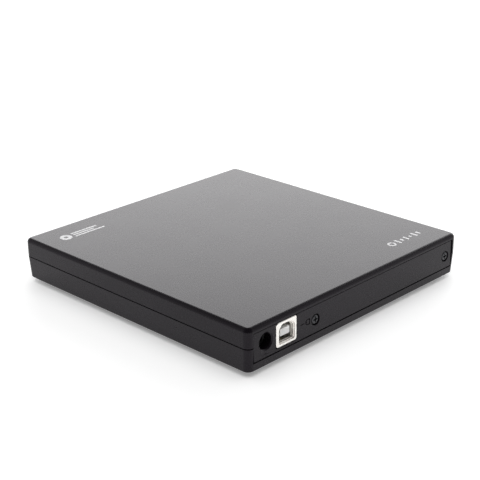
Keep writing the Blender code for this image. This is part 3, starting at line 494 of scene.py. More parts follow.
def satin_casing(name, base, roughness):
    """The casing's satin black: silky grain, slight pooling in the gloss and rubbed edges."""
    made = Recipe(name, base, roughness)
    made.set("IOR", 1.31)
    made.set("Specular Tint", (0.98, 0.91, 1.0, 1))
    cloud = made.noise(0.045, 3)
    clean = made.mix(made.between(cloud, 0, 1), lighter(base, 0.9), lighter(base, 1.12))
    rubbed = made.maths("MULTIPLY", made.edge_wear(0.0005), made.between(made.noise(0.006, 4), 0.0, 0.5))
    made.colour(made.mix(rubbed, base, lighter(base, 2.2), clean))
    smear = made.noise(0.018, 5, rough=0.6)
    dust = made.noise(0.0009, 2)
    uneven = made.between(smear, roughness - 0.008, roughness + 0.010)
    made.rough(made.maths("ADD", uneven, made.between(dust, -0.006, 0.008)))
    return made.bump(made.noise(0.00028, 3), 0.0000007).material


def brushed_metal(name, base, roughness, along=(1, 1, 1), relief=0.000002):
    """Rolled or drawn metal: fine lines along one direction and soft tarnish."""
    made = Recipe(name, base, roughness, 1.0)
    lines = made.noise(0.0012, 3, made.mapped(along))
    tarnish = made.noise(0.008, 4)
    made.colour(made.mix(made.between(tarnish, 0, 1), lighter(base, 0.84), lighter(base, 1.08)))
    made.rough(
        made.maths(
            "ADD",
            made.between(tarnish, roughness - 0.06, roughness + 0.08),
            made.between(lines, -0.05, 0.05),
        )
    )
    return made.bump(lines, relief).material


def plated_shell(name, base, roughness):
    """Bright plating with a slight milky bloom, as on a new socket."""
    made = Recipe(name, base, roughness, 0.88)
    bloom = made.noise(0.002, 4)
    made.colour(made.mix(made.between(bloom, 0, 1), lighter(base, 0.93), lighter(base, 1.04)))
    made.rough(made.between(bloom, roughness - 0.05, roughness + 0.08))
    return made.bump(made.noise(0.0003, 3), 0.000003).material


def cast_metal(name, base, roughness):
    """Die-cast metal with a pitted skin."""
    made = Recipe(name, base, roughness, 1.0)
    pits = made.noise(0.0006, 4)
    made.colour(made.mix(made.between(pits, 0, 1), lighter(base, 0.7), lighter(base, 1.05)))
    made.rough(made.between(made.noise(0.003, 3), roughness - 0.08, roughness + 0.1))
    return made.bump(pits, 0.00002).material


def soft_rubber(name, base):
    made = Recipe(name, base, 0.85)
    speck = made.noise(0.0004, 3)
    made.colour(made.mix(made.between(speck, 0, 1), lighter(base, 0.8), lighter(base, 1.7)))
    made.rough(made.between(made.noise(0.002, 4), 0.75, 0.92))
    return made.bump(speck, 0.00002).material


def circuit_board(name):
    """Solder mask over copper: tracks as bands of a cell pattern, and bright pads."""
    made = Recipe(name, (0.015, 0.09, 0.04), 0.35)
    brick = made.tree.nodes.new("ShaderNodeTexBrick")
    brick.inputs["Scale"].default_value = 210
    brick.inputs["Mortar Size"].default_value = 0.035
    brick.inputs["Color1"].default_value = (0.012, 0.075, 0.033, 1)
    brick.inputs["Color2"].default_value = (0.016, 0.105, 0.047, 1)
    brick.inputs["Mortar"].default_value = (0.04, 0.19, 0.09, 1)
    made.link(made.place, brick.inputs["Vector"])
    cells = made.tree.nodes.new("ShaderNodeTexVoronoi")
    cells.inputs["Scale"].default_value = 260
    made.link(made.place, cells.inputs["Vector"])
    pads = made.between(cells.outputs["Distance"], 1.0, 0.0, 0.16, 0.2)
    made.colour(made.mix(pads, (0, 0, 0), (0.62, 0.6, 0.5), brick.outputs["Color"]))
    made.rough(made.between(made.noise(0.004, 3), 0.28, 0.42))
    return made.bump(brick.outputs["Fac"], 0.00003).material


def flat_cable(name):
    """Amber film with copper tracks running along it."""
    made = Recipe(name, (0.5, 0.22, 0.04), 0.3)
    bands = made.tree.nodes.new("ShaderNodeTexWave")
    bands.bands_direction = "X"
    bands.inputs["Scale"].default_value = 320
    made.link(made.place, bands.inputs["Vector"])
    tracks = made.between(bands.outputs["Fac"], 0.0, 1.0, 0.3, 0.5)
    made.colour(made.mix(tracks, (0.42, 0.17, 0.03), (0.62, 0.33, 0.10)))
    made.rough(made.between(made.noise(0.004, 3), 0.22, 0.38))
    return made.bump(bands.outputs["Fac"], 0.00004).material


def clear_lens(name, base):
    made = Recipe(name, base, 0.03)
    made.set("Transmission Weight", 0.7)
    made.set("IOR", 1.6)
    ring = made.noise(0.0008, 1)
    made.colour(made.mix(made.between(ring, 0, 1), base, lighter(base, 1.3)))
    made.rough(made.between(ring, 0.02, 0.07))
    return made.material


def glowing_window(name, base):
    made = Recipe(name, base, 0.25)
    made.set("Emission Color", (*base, 1))
    made.set("Emission Strength", 0.25)
    frost = made.noise(0.0003, 2)
    made.colour(made.mix(made.between(frost, 0, 1), lighter(base, 0.8), lighter(base, 1.2)))
    made.rough(made.between(frost, 0.2, 0.35))
    return made.bump(frost, 0.00001).material


def printed_ink(name, base):
    made = Recipe(name, base, 0.42)
    screen = made.noise(0.0002, 2)
    made.colour(made.mix(made.between(screen, 0, 1), lighter(base, 0.88), lighter(base, 1.05)))
    made.rough(made.between(screen, 0.36, 0.5))
    return made.bump(screen, 0.000003).material


MADE = {}


def finish(name):
    """The material of that name, made the first time it is asked for."""
    if name not in MADE:
        MADE[name] = FINISHES[name]()
    return MADE[name]


def casing_settings():
    return bpy.context.scene.optical_drive_casing


FINISHES = {
    "casing": lambda: satin_casing(
        "satin casing", tuple(casing_settings().colour), casing_settings().roughness
    ),
    "ink": lambda: printed_ink("printed mark", tuple(casing_settings().mark_colour)),
    "tray": lambda: moulded_plastic(
        "tray plastic", tuple(bpy.context.scene.optical_drive_tray.colour), 0.45, 0.0004, 0.00001
    ),
    "black": lambda: moulded_plastic("black plastic", (0.012, 0.012, 0.013), 0.42),
    "white": lambda: moulded_plastic("white plastic", (0.86, 0.86, 0.84), 0.4, 0.0004, 0.000004),
    "hub": lambda: moulded_plastic("hub plastic", (0.035, 0.035, 0.037), 0.38),
    "seat": lambda: soft_rubber("disc seat", (0.02, 0.02, 0.02)),
    "rubber": lambda: soft_rubber("foot rubber", (0.012, 0.012, 0.012)),
    "bright": lambda: plated_shell("plated socket shell", (1.0, 0.95, 0.91), 0.24),
    "spring": lambda: brushed_metal("spring lining", (0.80, 0.78, 0.74), 0.34, (1, 6, 1)),
    # Dark metal of the panel screws, also used as painted shade on the power pin deep in its hole
    "dark_screw_and_pin_shade": lambda: brushed_metal("dark screw", (0.07, 0.07, 0.075), 0.33),
    "gold": lambda: brushed_metal("gold contact", (0.85, 0.62, 0.25), 0.25, (1, 0.1, 1)),
    "zinc": lambda: brushed_metal("zinc plate", (0.55, 0.56, 0.57), 0.38, (1, 0.15, 1)),
    "steel": lambda: brushed_metal("bright steel", (0.58, 0.58, 0.59), 0.22, (1, 1, 0.2)),
    "cast": lambda: cast_metal("die-cast metal", (0.42, 0.42, 0.43), 0.45),
    "board": lambda: circuit_board("circuit board"),
    "chip": lambda: moulded_plastic("chip package", (0.02, 0.02, 0.021), 0.5, 0.0002, 0.00001),
    "flex": lambda: flat_cable("flat cable"),
    "lens": lambda: clear_lens("lens", (0.35, 0.45, 0.75)),
    "window": lambda: glowing_window("light window", (0.12, 0.45, 0.08)),
}


# ---------------------------------------------------------------- stage


def camera_place(studio):
    """The camera's matrix: back along its direction, rolled, and shifted in its own plane."""
    back = Vector(
        (
            math.sin(studio.azimuth) * math.cos(studio.elevation),
            math.cos(studio.azimuth) * math.cos(studio.elevation),
            math.sin(studio.elevation),
        )
    )
    across = Vector((0, 0, 1)).cross(back).normalized()
    upward = back.cross(across)
    turn = Matrix.Rotation(studio.roll, 3, back)
    right = turn @ across
    upright = turn @ upward
    eye = back * studio.distance + across * studio.aim[0] + upward * studio.aim[1]
    place = Matrix((right, upright, back)).transposed().to_4x4()
    place.translation = eye
    return place


PANEL_LIGHT_SIZE = (1.6, 0.7)
PANEL_LIGHT_PLACE = Vector((-0.95, -0.55, 0.42))
CEILING_LIGHT_SIZE = (4, 4)
CEILING_LIGHT_PLACE = Vector((0.4, 0.4, 3))
SENSOR_WIDTH = 36
LENS_SHIFT = 0.0034


class OPTICALDRIVE_OT_stage(bpy.types.Operator):
    """Sets the pale floor, the soft lights and the camera"""

    bl_idname = "optical_drive.stage"
    bl_label = "Stage"

    def execute(self, context):
        studio = context.scene.optical_drive_studio
        context.scene.world = self.make_surroundings(studio)
        context.scene.view_settings.view_transform = "Standard"

        floor_finish = Recipe("pale floor", (0.93, 0.93, 0.93), 0.6)
        speck = floor_finish.noise(0.004, 3)
        floor_finish.rough(floor_finish.between(speck, 0.55, 0.65))
        floor_finish.set("Emission Color", (1, 1, 1, 1))
        floor_finish.set("Emission Strength", studio.floor_glow)
        floor_finish.set("Specular IOR Level", 0.1)
        reach = 40
        floor = block("floor", (-reach, -reach, -0.01), (reach, reach, 0))
        floor.data.materials.append(floor_finish.material)

        self.add_light("soft_panel", studio.panel_light, PANEL_LIGHT_SIZE, PANEL_LIGHT_PLACE)
        above = self.add_light("soft_ceiling", studio.top_light, CEILING_LIGHT_SIZE, CEILING_LIGHT_PLACE)
        above.visible_glossy = False

        lens = bpy.data.cameras.new("camera")
        lens.lens = studio.lens
        lens.sensor_width = SENSOR_WIDTH
        lens.shift_y = LENS_SHIFT
        lens.clip_start = 0.01
        lens.clip_end = 100
        camera = bpy.data.objects.new("camera", lens)
        camera.matrix_world = camera_place(studio)
        context.scene.collection.objects.link(camera)
        context.scene.camera = camera
        return {"FINISHED"}

    def make_surroundings(self, studio):
        """A pale backdrop for the camera; its light is dimmer overhead and from the camera's side."""
        world = bpy.data.worlds.new("pale surroundings")
        world.use_nodes = True
        nodes = world.node_tree.nodes
        link = world.node_tree.links.new
        sky = nodes["Background"]
        sky.inputs["Color"].default_value = (1, 1, 1, 1)
        place = nodes.new("ShaderNodeTexCoord")
        split = nodes.new("ShaderNodeSeparateXYZ")
        link(place.outputs["Generated"], split.inputs["Vector"])
        fade = nodes.new("ShaderNodeMapRange")
        fade.inputs["From Min"].default_value = 0.3
        fade.inputs["From Max"].default_value = 0.9
        fade.inputs["To Min"].default_value = studio.backdrop
        fade.inputs["To Max"].default_value = studio.overhead
        link(split.outputs["Z"], fade.inputs["Value"])
        facing = nodes.new("ShaderNodeVectorMath")
        facing.operation = "DOT_PRODUCT"
        facing.inputs[1].default_value = (math.sin(studio.azimuth), math.cos(studio.azimuth), 0)
        link(place.outputs["Generated"], facing.inputs[0])
        behind = nodes.new("ShaderNodeMapRange")
        behind.inputs["From Min"].default_value = -0.2
        behind.inputs["From Max"].default_value = 0.5
        behind.inputs["To Min"].default_value = 1
        behind.inputs["To Max"].default_value = studio.near_side
        link(facing.outputs["Value"], behind.inputs["Value"])
        both = nodes.new("ShaderNodeMath")
        both.operation = "MULTIPLY"
        link(fade.outputs["Result"], both.inputs[0])
        link(behind.outputs["Result"], both.inputs[1])
        rays = nodes.new("ShaderNodeLightPath")
        seen = nodes.new("ShaderNodeMapRange")
        seen.inputs["To Max"].default_value = studio.backdrop
        link(rays.outputs["Is Camera Ray"], seen.inputs["Value"])
        link(both.outputs["Value"], seen.inputs["To Min"])
        link(seen.outputs["Result"], sky.inputs["Strength"])
        return world

    def add_light(self, name, power, size, place):
        """A soft rectangle of light that faces the drive."""
        lamp = bpy.data.lights.new(name, "AREA")
        lamp.energy = power
        lamp.shape = "RECTANGLE"
        lamp.size, lamp.size_y = size
        light = bpy.data.objects.new(name, lamp)
        light.location = place
        light.rotation_mode = "QUATERNION"
        light.rotation_quaternion = (-place).to_track_quat("-Z", "Y")
        bpy.context.scene.collection.objects.link(light)
        return light


# ---------------------------------------------------------------- casing


LIP_RISE = 0.0025
FLANGE_THICKNESS = 0.0012
LIP_WIDTH = 0.001
RIB_WIDTH = 0.003
RIB_SPACING = 0.1
VENT_COUNT = 13
VENT_SPACING = 0.0032
VENT_HALF_WIDTH = 0.0006
VENT_HALF_LENGTH = 0.012
FOOT_POCKET_RADIUS = 0.0043
FOOT_POCKET_TOP = 0.00085


def half_shell(name, low, high, wall, floor_down, edge_radius, casing):
    """Half of the casing: an open rounded box given a wall inwards."""
    shape = block_shape(low, high)
    middle = (low[2] + high[2]) / 2
    height = high[2] - low[2]
    closed_z = low[2] if floor_down else high[2]
    if floor_down:
        for vert in shape.verts:
            if vert.co.z < middle:
                vert.co.x -= math.copysign(casing.draft, vert.co.x)
                vert.co.y -= math.copysign(casing.draft, vert.co.y)
    open_z = high[2] if floor_down else low[2]
    opening = [face for face in shape.faces if abs(face.calc_center_median().z - open_z) < 1e-6]
    bmesh.ops.delete(shape, geom=opening, context="FACES_ONLY")
    upright = [edge for edge in shape.edges if abs(edge.verts[0].co.z - edge.verts[1].co.z) > height / 2]
    round_edges(shape, upright, casing.corner_radius, 14)
    rim = [edge for edge in shape.edges if all(abs(vert.co.z - closed_z) < 1e-6 for vert in edge.verts)]
    round_edges(shape, rim, edge_radius, 10)
    mesh = bpy.data.meshes.new(name)
    shape.to_mesh(mesh)
    shape.free()
    piece = bpy.data.objects.new(name, mesh)
    bpy.context.scene.collection.objects.link(piece)
    solid = piece.modifiers.new("Wall", "SOLIDIFY")
    solid.thickness = wall
    solid.offset = -1
    solid.use_even_offset = True
    return settle(piece)


def front_opening():
    low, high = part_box("tray_bezel")
    return block(
        "front_opening",
        (low.x - GAP, low.y - PAST, low.z - GAP),
        (high.x + GAP, high.y + GAP + PAST, high.z + GAP),
    )


def panel_heights(panel):
    """The lower and upper edge of the socket panel's opening."""
    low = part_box("bottom_shell")[0].z + panel.low
    return low, low + panel.height


def rear_opening(panel):
    box_low, box_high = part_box("rear_panel")
    low, high = panel_heights(panel)
    return block(
        "rear_opening",
        (box_low.x - panel.gap, box_low.y - GAP, low),
        (box_high.x + panel.gap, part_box("top_shell")[1].y + PAST, high),
    )


def foot_centres():
    """The middle of each foot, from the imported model."""
    for number in range(1, 5):
        low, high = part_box(f"foot_{number}")
        yield number, (low + high) / 2


class OPTICALDRIVE_OT_casing(bpy.types.Operator):
    """Makes the two shells of the casing and the rubber feet"""

    bl_idname = "optical_drive.casing"
    bl_label = "Casing and Feet"

    def execute(self, context):
        casing = context.scene.optical_drive_casing
        panel = context.scene.optical_drive_panel
        low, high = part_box("top_shell")
        lid = high - Vector((0, 0, SKIN))
        top = half_shell("casing_top", low, lid, casing.top_wall, False, casing.edge_radius, casing)
        carve(top, front_opening(), rear_opening(panel))
        dress(soften(top, 30, 0.00012), finish("casing"), "casing", "root", "top_shell")

        low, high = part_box("bottom_shell")
        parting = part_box("top_shell")[0].z - GAP
        join = Vector((high.x, high.y, parting + GAP - casing.seam))
        bottom = half_shell(
            "casing_bottom", low, join, casing.bottom_wall, True, casing.lower_edge_radius, casing
        )
        inset = casing.top_wall + GAP
        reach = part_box("top_shell")[1]
        rim = block_shape(
            (inset - reach.x, inset - reach.y, parting - LIP_RISE),
            (reach.x - inset, reach.y - inset, high.z),
        )
        upright = [edge for edge in rim.edges if abs(edge.verts[0].co.z - edge.verts[1].co.z) > PAST]
        round_edges(rim, upright, PAST, 6)
        band = put("lip", rim)
        inner = inset + LIP_WIDTH
        hollow = block(
            "lip_inside",
            (inner - reach.x, inner - reach.y, low.z + PAST * 2),
            (reach.x - inner, reach.y - inner, high.z + PAST),
        )
        carve(band, hollow)
        ribs = [
            block(
                "rib",
                (side * RIB_SPACING / 2 - RIB_WIDTH / 2, front, low.z + casing.bottom_wall - GAP),
                (side * RIB_SPACING / 2 + RIB_WIDTH / 2, back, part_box("drive_chassis")[0].z - GAP),
            )
            for side in (-1, 1)
            for front, back in ((-0.063, -0.004), (0.004, 0.052))
        ]
        carve(bottom, band, *ribs, operation="UNION")
        pockets = [
            turned(
                "pocket",
                (
                    (0, -PAST),
                    (FOOT_POCKET_RADIUS, -PAST),
                    (FOOT_POCKET_RADIUS, FOOT_POCKET_TOP),
                    (0, FOOT_POCKET_TOP),
                ),
                (centre.x, centre.y, low.z - GAP),
            )
            for _, centre in foot_centres()
        ]
        vents = [
            block(
                "vent",
                (x - VENT_HALF_WIDTH, -VENT_HALF_LENGTH, low.z - PAST),
                (x + VENT_HALF_WIDTH, VENT_HALF_LENGTH, low.z + casing.bottom_wall + PAST),
                0.0005,
                3,
            )
            for x in [(step - VENT_COUNT // 2) * VENT_SPACING for step in range(VENT_COUNT)]
        ]
        carve(bottom, front_opening(), rear_opening(panel), *pockets, *vents)
        dress(soften(bottom, 30, 0.00012), finish("casing"), "casing", "root", "bottom_shell")

        for number, centre in foot_centres():
            foot_low, foot_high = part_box(f"foot_{number}")
            radius = (foot_high.x - foot_low.x) / 2
            thick = foot_high.z
            edge = 0.0004
            profile = (
                (0, thick),
                (radius, thick),
                (radius, edge),
                (radius - edge * 0.3, edge * 0.3),
                (radius - edge, 0),
                (radius * 0.62, 0),
                (radius * 0.58, 0.00012),
                (radius * 0.2, 0.00012),
                (0, 0.00012),
            )
            foot = turned(f"rubber_foot_{number}", profile, (centre.x, centre.y, 0))
            dress(soften(foot, 40), finish("rubber"), "rubber_foot", "root", f"foot_{number}")
        return {"FINISHED"}


# ---------------------------------------------------------------- socket panel


def usb_mouth(panel, centre_x, centre_z, back, front, grow=0.0):
    """The socket's mouth: a rounded square whose two upper corners are sloped off."""
    half = panel.usb_opening[0] / 2 + grow
    tall = panel.usb_opening[1] / 2 + grow
    slope = panel.usb_slope
    outline = (
        (-half, -tall),
        (half, -tall),
        (half, tall - slope),
        (half - slope, tall),
        (slope - half, tall),
        (-half, tall - slope),
    )
    shape = plate_shape(outline, -front, -back)
    along = [edge for edge in shape.edges if abs(edge.verts[0].co.z - edge.verts[1].co.z) > PAST / 2]
    round_edges(shape, along, 0.0006, 5)
    stand = Matrix.Translation((centre_x, 0, centre_z)) @ Matrix.Rotation(math.radians(90), 4, "X")
    bmesh.ops.transform(shape, matrix=stand, verts=shape.verts)
    return put("usb_mouth", shape)


def middle_of(node):
    low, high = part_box(node)
    return (low + high) / 2


def upright_box_cut(name, x, z, wide, tall, back, front, radius=0.0):
    return block(name, (x - wide / 2, back, z - tall / 2), (x + wide / 2, front, z + tall / 2), radius)


def arrow_tools(x, z, face, depth):
    """Cutters for a small generic arrow into a square frame, engraved in the panel."""
    back = face - depth
    front = face + PAST
    line = 0.00045
    tools = [
        upright_box_cut("shaft", x + 0.0008, z, 0.0040, line, back, front),
        upright_box_cut("frame_side", x - 0.0028, z, line, 0.0026, back, front),
        upright_box_cut("frame_top", x - 0.0021, z + 0.00113, 0.0014, line, back, front),
        upright_box_cut("frame_low", x - 0.0021, z - 0.00113, 0.0014, line, back, front),
    ]
    for side in (-1, 1):
        barb = block_shape((-0.0009, back, -line / 2), (0.0009, front, line / 2))
        turn = Matrix.Rotation(side * math.radians(38), 4, "Y")
        bmesh.ops.transform(
            barb, matrix=Matrix.Translation((x - 0.00055, 0, z + side * 0.00048)) @ turn, verts=barb.verts
        )
        tools.append(put("barb", barb))
    return tools


def polarity_tools(x, z, face, depth):
    """Cutters for the usual sign of a power inlet's polarity: a ring with a dot and two short lines."""
    back = face - depth
    front = face + PAST
    line = 0.0002
    ring = turned(
        "ring",
        ((0.00045, depth), (0.00062, depth), (0.00062, -PAST), (0.00045, -PAST), (0.00045, depth)),
        (x, face, z),
        axis=(0, -1, 0),
        steps=32,
    )
    dot = post("dot", 0.0002, (x, back, z), (x, front, z), 16)
    tools = [ring, dot]
    for side in (-1, 1):
        tools.append(upright_box_cut("lead", x + side * 0.0012, z, 0.0010, line, back, front))
    return tools


class OPTICALDRIVE_OT_panel(bpy.types.Operator):
    """Makes the socket panel with its openings, screws and engraved signs"""

    bl_idname = "optical_drive.panel"
    bl_label = "Socket Panel"

    def execute(self, context):
        panel = context.scene.optical_drive_panel
        low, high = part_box("rear_panel")
        open_low, open_high = panel_heights(panel)
        plate_piece = block(
            "socket_panel",
            (low.x, low.y, open_low + panel.gap),
            (high.x, high.y, open_high - panel.gap),
            0.00025,
            3,
        )
        flange_face = low.y + FLANGE_THICKNESS
        flange = block("flange", (low.x, low.y + SKIN, low.z), (high.x, flange_face, high.z))
        carve(plate_piece, flange, operation="UNION")

        usb_low, usb_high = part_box("usb_socket_shell")
        front = high.y + PAST
        tools = [
            block(
                "usb_hole",
                (usb_low.x - GAP, low.y - PAST, usb_low.z - GAP),
                (usb_high.x + GAP, front, usb_high.z + GAP),
                0.0008,
                4,
            )
        ]
        jack = middle_of("dc_jack_body")
        radius = panel.dc_radius
        tools.append(
            turned(
                "dc_hole",
                (
                    (0, -PAST),
                    (radius + 0.0006, -PAST),
                    (radius + 0.0006, 0),
                    (radius, 0.0005),
                    (radius, 0.006),
                    (0, 0.006),
                ),
                (jack.x, high.y, jack.z),
                axis=(0, -1, 0),
                steps=96,
            )
        )
        for node in ("rear_screw_left", "rear_screw_right"):
            head = middle_of(node)
            tools.append(
                turned(
                    "head_seat",
                    (
                        (0, -PAST),
                        (0.0027, -PAST),
                        (0.0027, 0),
                        (0.0025, 0.0002),
                        (0.0025, 0.0011),
                        (0.0013, 0.0011),
                        (0.0013, 0.006),
                        (0, 0.006),
                    ),
                    (head.x, high.y, head.z),
                    axis=(0, -1, 0),
                )
            )
        carve(plate_piece, *tools)
        carve(
            plate_piece,
            *arrow_tools(usb_low.x - 0.0052, middle_of("usb_socket_shell").z - 0.0004, high.y, 0.0003),
            *polarity_tools(jack.x, open_low + 0.0019, high.y, 0.00012),
        )
        dress(soften(plate_piece, 30, 0.00006), finish("casing"), "casing", "root", "rear_panel")

        for node, name in (
            ("rear_screw_left", "panel_screw_left"), ("rear_screw_right", "panel_screw_right")
        ):
            self.make_screw(node, name)
        return {"FINISHED"}

    def make_screw(self, node, name):
        """A cross-head screw with a domed rim and a threaded shank."""
        low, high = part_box(node)
        centre = (low + high) / 2
        radius = (high.x - low.x) / 2
        length = high.y - low.y
        profile = [
            (0, 0),
            (radius * 0.72, 0),
            (radius * 0.9, 0.00008),
            (radius * 0.98, 0.00025),
            (radius, 0.0005),
            (radius, 0.0008),
        ]
        depth = 0.0009
        pitch = 0.0005
        profile.append((radius * 0.5, depth))
        while depth + pitch < length - 0.001:
            profile.append((radius * 0.48, depth + pitch * 0.5))
            profile.append((radius * 0.38, depth + pitch))
            depth += pitch
        profile += [(radius * 0.3, length - 0.0005), (0, length)]
        screw = turned(name, profile, (centre.x, high.y, centre.z), axis=(0, -1, 0), steps=48)
        cross = []
        for wide, tall in ((0.0026, 0.0007), (0.0007, 0.0026)):
            cross.append(
                upright_box_cut("cross", centre.x, centre.z, wide, tall, high.y - 0.0007, high.y + PAST)
            )
        cross.append(
            turned(
                "cross_middle",
                ((0, -PAST), (0.0007, -PAST), (0.0005, 0.0004), (0, 0.0009)),
                (centre.x, high.y, centre.z),
                axis=(0, -1, 0),
                steps=8,
            )
        )
        carve(screw, *cross)
        dress(soften(screw, 35, 0.00004), finish("dark_screw_and_pin_shade"), "screw_steel", "root", node)


class OPTICALDRIVE_OT_sockets(bpy.types.Operator):
    """Makes the square data socket and the round power inlet"""

    bl_idname = "optical_drive.sockets"
    bl_label = "Sockets"

    def execute(self, context):
        panel = context.scene.optical_drive_panel
        low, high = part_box("usb_socket_shell")
        centre = (low + high) / 2
        shape = block_shape(low, high)
        along = [edge for edge in shape.edges if abs(edge.verts[0].co.y - edge.verts[1].co.y) > PAST]
        round_edges(shape, along, 0.0011, 6)
        rim = [edge for edge in shape.edges if all(vert.co.y > high.y - SKIN for vert in edge.verts)]
        round_edges(shape, rim, 0.0005, 5)
        shell = put("usb_shell", shape)
        depth = 0.012
        mouth = usb_mouth(panel, centre.x, centre.z, high.y - depth, high.y + PAST)
        step = usb_mouth(panel, centre.x, centre.z, high.y - 0.0006, high.y + PAST, 0.0004)
        carve(shell, mouth, step)
        dress(soften(shell, 30, 0.0001), finish("bright"), "bright_metal", "root", "usb_socket_shell")

        lining = usb_mouth(panel, centre.x, centre.z, high.y - depth + GAP, high.y - 0.0016, -0.00002)
        carve(
            lining, usb_mouth(panel, centre.x, centre.z, high.y - depth + 0.0008, high.y + PAST, -0.00022)
        )
        gaps = [
            block(
                "spring_gap",
                (low.x - PAST, high.y - 0.0085, centre.z + step - 0.00015),
                (high.x + PAST, high.y - 0.0030, centre.z + step + 0.00015),
            )
            for step in (-0.0011, 0.0011)
        ]
        carve(lining, *gaps)
        dress(soften(lining, 30), finish("spring"), "bright_metal", "root")

        low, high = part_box("usb_socket_tongue")
        tongue = block("usb_tongue", low, high, 0.0002, 3)
        grooves = []
        for number in range(1, 5):
            contact_low, contact_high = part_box(f"usb_contact_{number}")
            upper = contact_low.z > high.z - PAST / 2
            edge = high.z if upper else low.z
            grooves.append(
                block(
                    "groove",
                    (contact_low.x - 0.00012, contact_low.y - 0.0002, edge - 0.00012),
                    (contact_high.x + 0.00012, contact_high.y + 0.0003, edge + 0.00012),
                )
            )
            strip = block(f"usb_spring_{number}", contact_low, contact_high, 0.00008, 2)
            dress(soften(strip, 40), finish("gold"), "gold_contact", "root", f"usb_contact_{number}")
        carve(tongue, *grooves)
        dress(soften(tongue, 35), finish("white"), "white_plastic", "root", "usb_socket_tongue")

        low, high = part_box("dc_jack_body")
        centre = (low + high) / 2
        body = block("power_inlet", low, high, 0.0004, 3)
        bore = (high.x - low.x) * 0.35
        hole = turned(
            "bore",
            (
                (0, -PAST),
                (bore + 0.0003, -PAST),
                (bore + 0.0003, 0),
                (bore, 0.0004),
                (bore, 0.009),
                (0, 0.009),
            ),
            (centre.x, high.y, centre.z),
            axis=(0, -1, 0),
            steps=72,
        )
        carve(body, hole)
        dress(soften(body, 35), finish("black"), "black_plastic", "root", "dc_jack_body")
        low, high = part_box("dc_jack_pin")
        radius = (high.x - low.x) / 2
        pin = turned(
            "power_pin",
            (
                (0, 0),
                (radius * 0.5, 0.0001),
                (radius * 0.85, 0.0004),
                (radius, 0.001),
                (radius, high.y - low.y),
                (0, high.y - low.y),
            ),
            (centre.x, high.y, centre.z),
            axis=(0, -1, 0),
            steps=36,
        )
        # The pin is given the dark screw metal as painted shade for the dark depth of its hole; the real
        # pin is bright metal
        dress(soften(pin, 40), finish("dark_screw_and_pin_shade"), "bright_metal", "root", "dc_jack_pin")
        return {"FINISHED"}


# ---------------------------------------------------------------- printed marks


def bar(x, y, wide, deep, low, high):
    return block_shape((x - wide / 2, y - deep / 2, low), (x + wide / 2, y + deep / 2, high))


class OPTICALDRIVE_OT_marks(bpy.types.Operator):
    """Prints two plain pale marks on the top: a disc sign with bars, and a row of bars with a ring"""

    bl_idname = "optical_drive.marks"
    bl_label = "Printed Marks"

    def execute(self, context):
        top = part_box("top_shell")[1]
        low = top.z - SKIN - 0.00001
        high = top.z - 0.000002
        self.print_front(low, high)
        self.print_rear(low, high)
        return {"FINISHED"}

    def print_front(self, low, high):
        """A disc with a hub hole, and three bars of unequal length beside it."""
        shape = bmesh.new()
        centre_x = 0.0563
        centre_y = -0.05745
        disc = turned(
            "front_print",
            ((0.00105, high - low), (0.0029, high - low), (0.0029, 0), (0.00105, 0), (0.00105, high - low)),
            (centre_x, centre_y, low),
            steps=64,
        )
        shape.from_mesh(disc.data)
        for wide, x, y in ((0.0170, 0.0436, 0.0019), (0.0120, 0.0461, 0.0), (0.0150, 0.0446, -0.0019)):
            piece = bar(x, centre_y + y, wide, 0.0011, low, high)
            scrap = bpy.data.meshes.new("scrap")
            piece.to_mesh(scrap)
            piece.free()
            shape.from_mesh(scrap)
            bpy.data.meshes.remove(scrap)
        mesh = disc.data
        shape.to_mesh(mesh)
        shape.free()
        dress(disc, finish("ink"), "casing", "root")

    def print_rear(self, low, high):
        """A row of upright bars of unequal height, and a ring at its end."""
        centre_y = 0.0582
        dot = turned(
            "rear_print",
            ((0.0012, high - low), (0.0021, high - low), (0.0021, 0), (0.0012, 0), (0.0012, high - low)),
            (-0.0380, centre_y, low),
            steps=48,
        )
        shape = bmesh.new()
        shape.from_mesh(dot.data)
        for number, deep in enumerate((0.0042, 0.0022, 0.0034, 0.0014, 0.0042, 0.0028)):
            piece = bar(-0.0424 - number * 0.0030, centre_y, 0.0012, deep, low, high)
            scrap = bpy.data.meshes.new("scrap")
            piece.to_mesh(scrap)
            piece.free()
            shape.from_mesh(scrap)
            bpy.data.meshes.remove(scrap)
        shape.to_mesh(dot.data)
        shape.free()
        dress(dot, finish("ink"), "casing", "root")


# ---------------------------------------------------------------- drive


def refined(node, name, finish_name, slot, body, edge=0.00015, tools=(), added=(), segments=2, angle=35):
    """A finer copy of a node: merged, cleaned of idle edges, carved, then given rounded edges."""
    shape = bmesh.new()
    shape.from_mesh(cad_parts[node].data)
    bmesh.ops.remove_doubles(shape, verts=shape.verts, dist=1e-6)
    bmesh.ops.dissolve_limit(
        shape,
        angle_limit=math.radians(1),
        use_dissolve_boundaries=False,
        verts=shape.verts,
        edges=shape.edges,
    )
    piece = put(name, shape)
    if added:
        carve(piece, *added, operation="UNION")
    if tools:
        carve(piece, *tools)
    dress(soften(piece, angle, edge, segments), finish(finish_name), slot, body, node)
    return piece


def mechanism_place():
    """From the laser mechanism's own frame, U outwards from the spindle and V across, to the drive's."""
    centre = middle_of("turntable")
    return Matrix.Translation((centre.x, centre.y, 0)) @ Matrix.Rotation(math.radians(-135), 4, "Z")


def in_mechanism(piece):
    piece.data.transform(mechanism_place())
    return piece


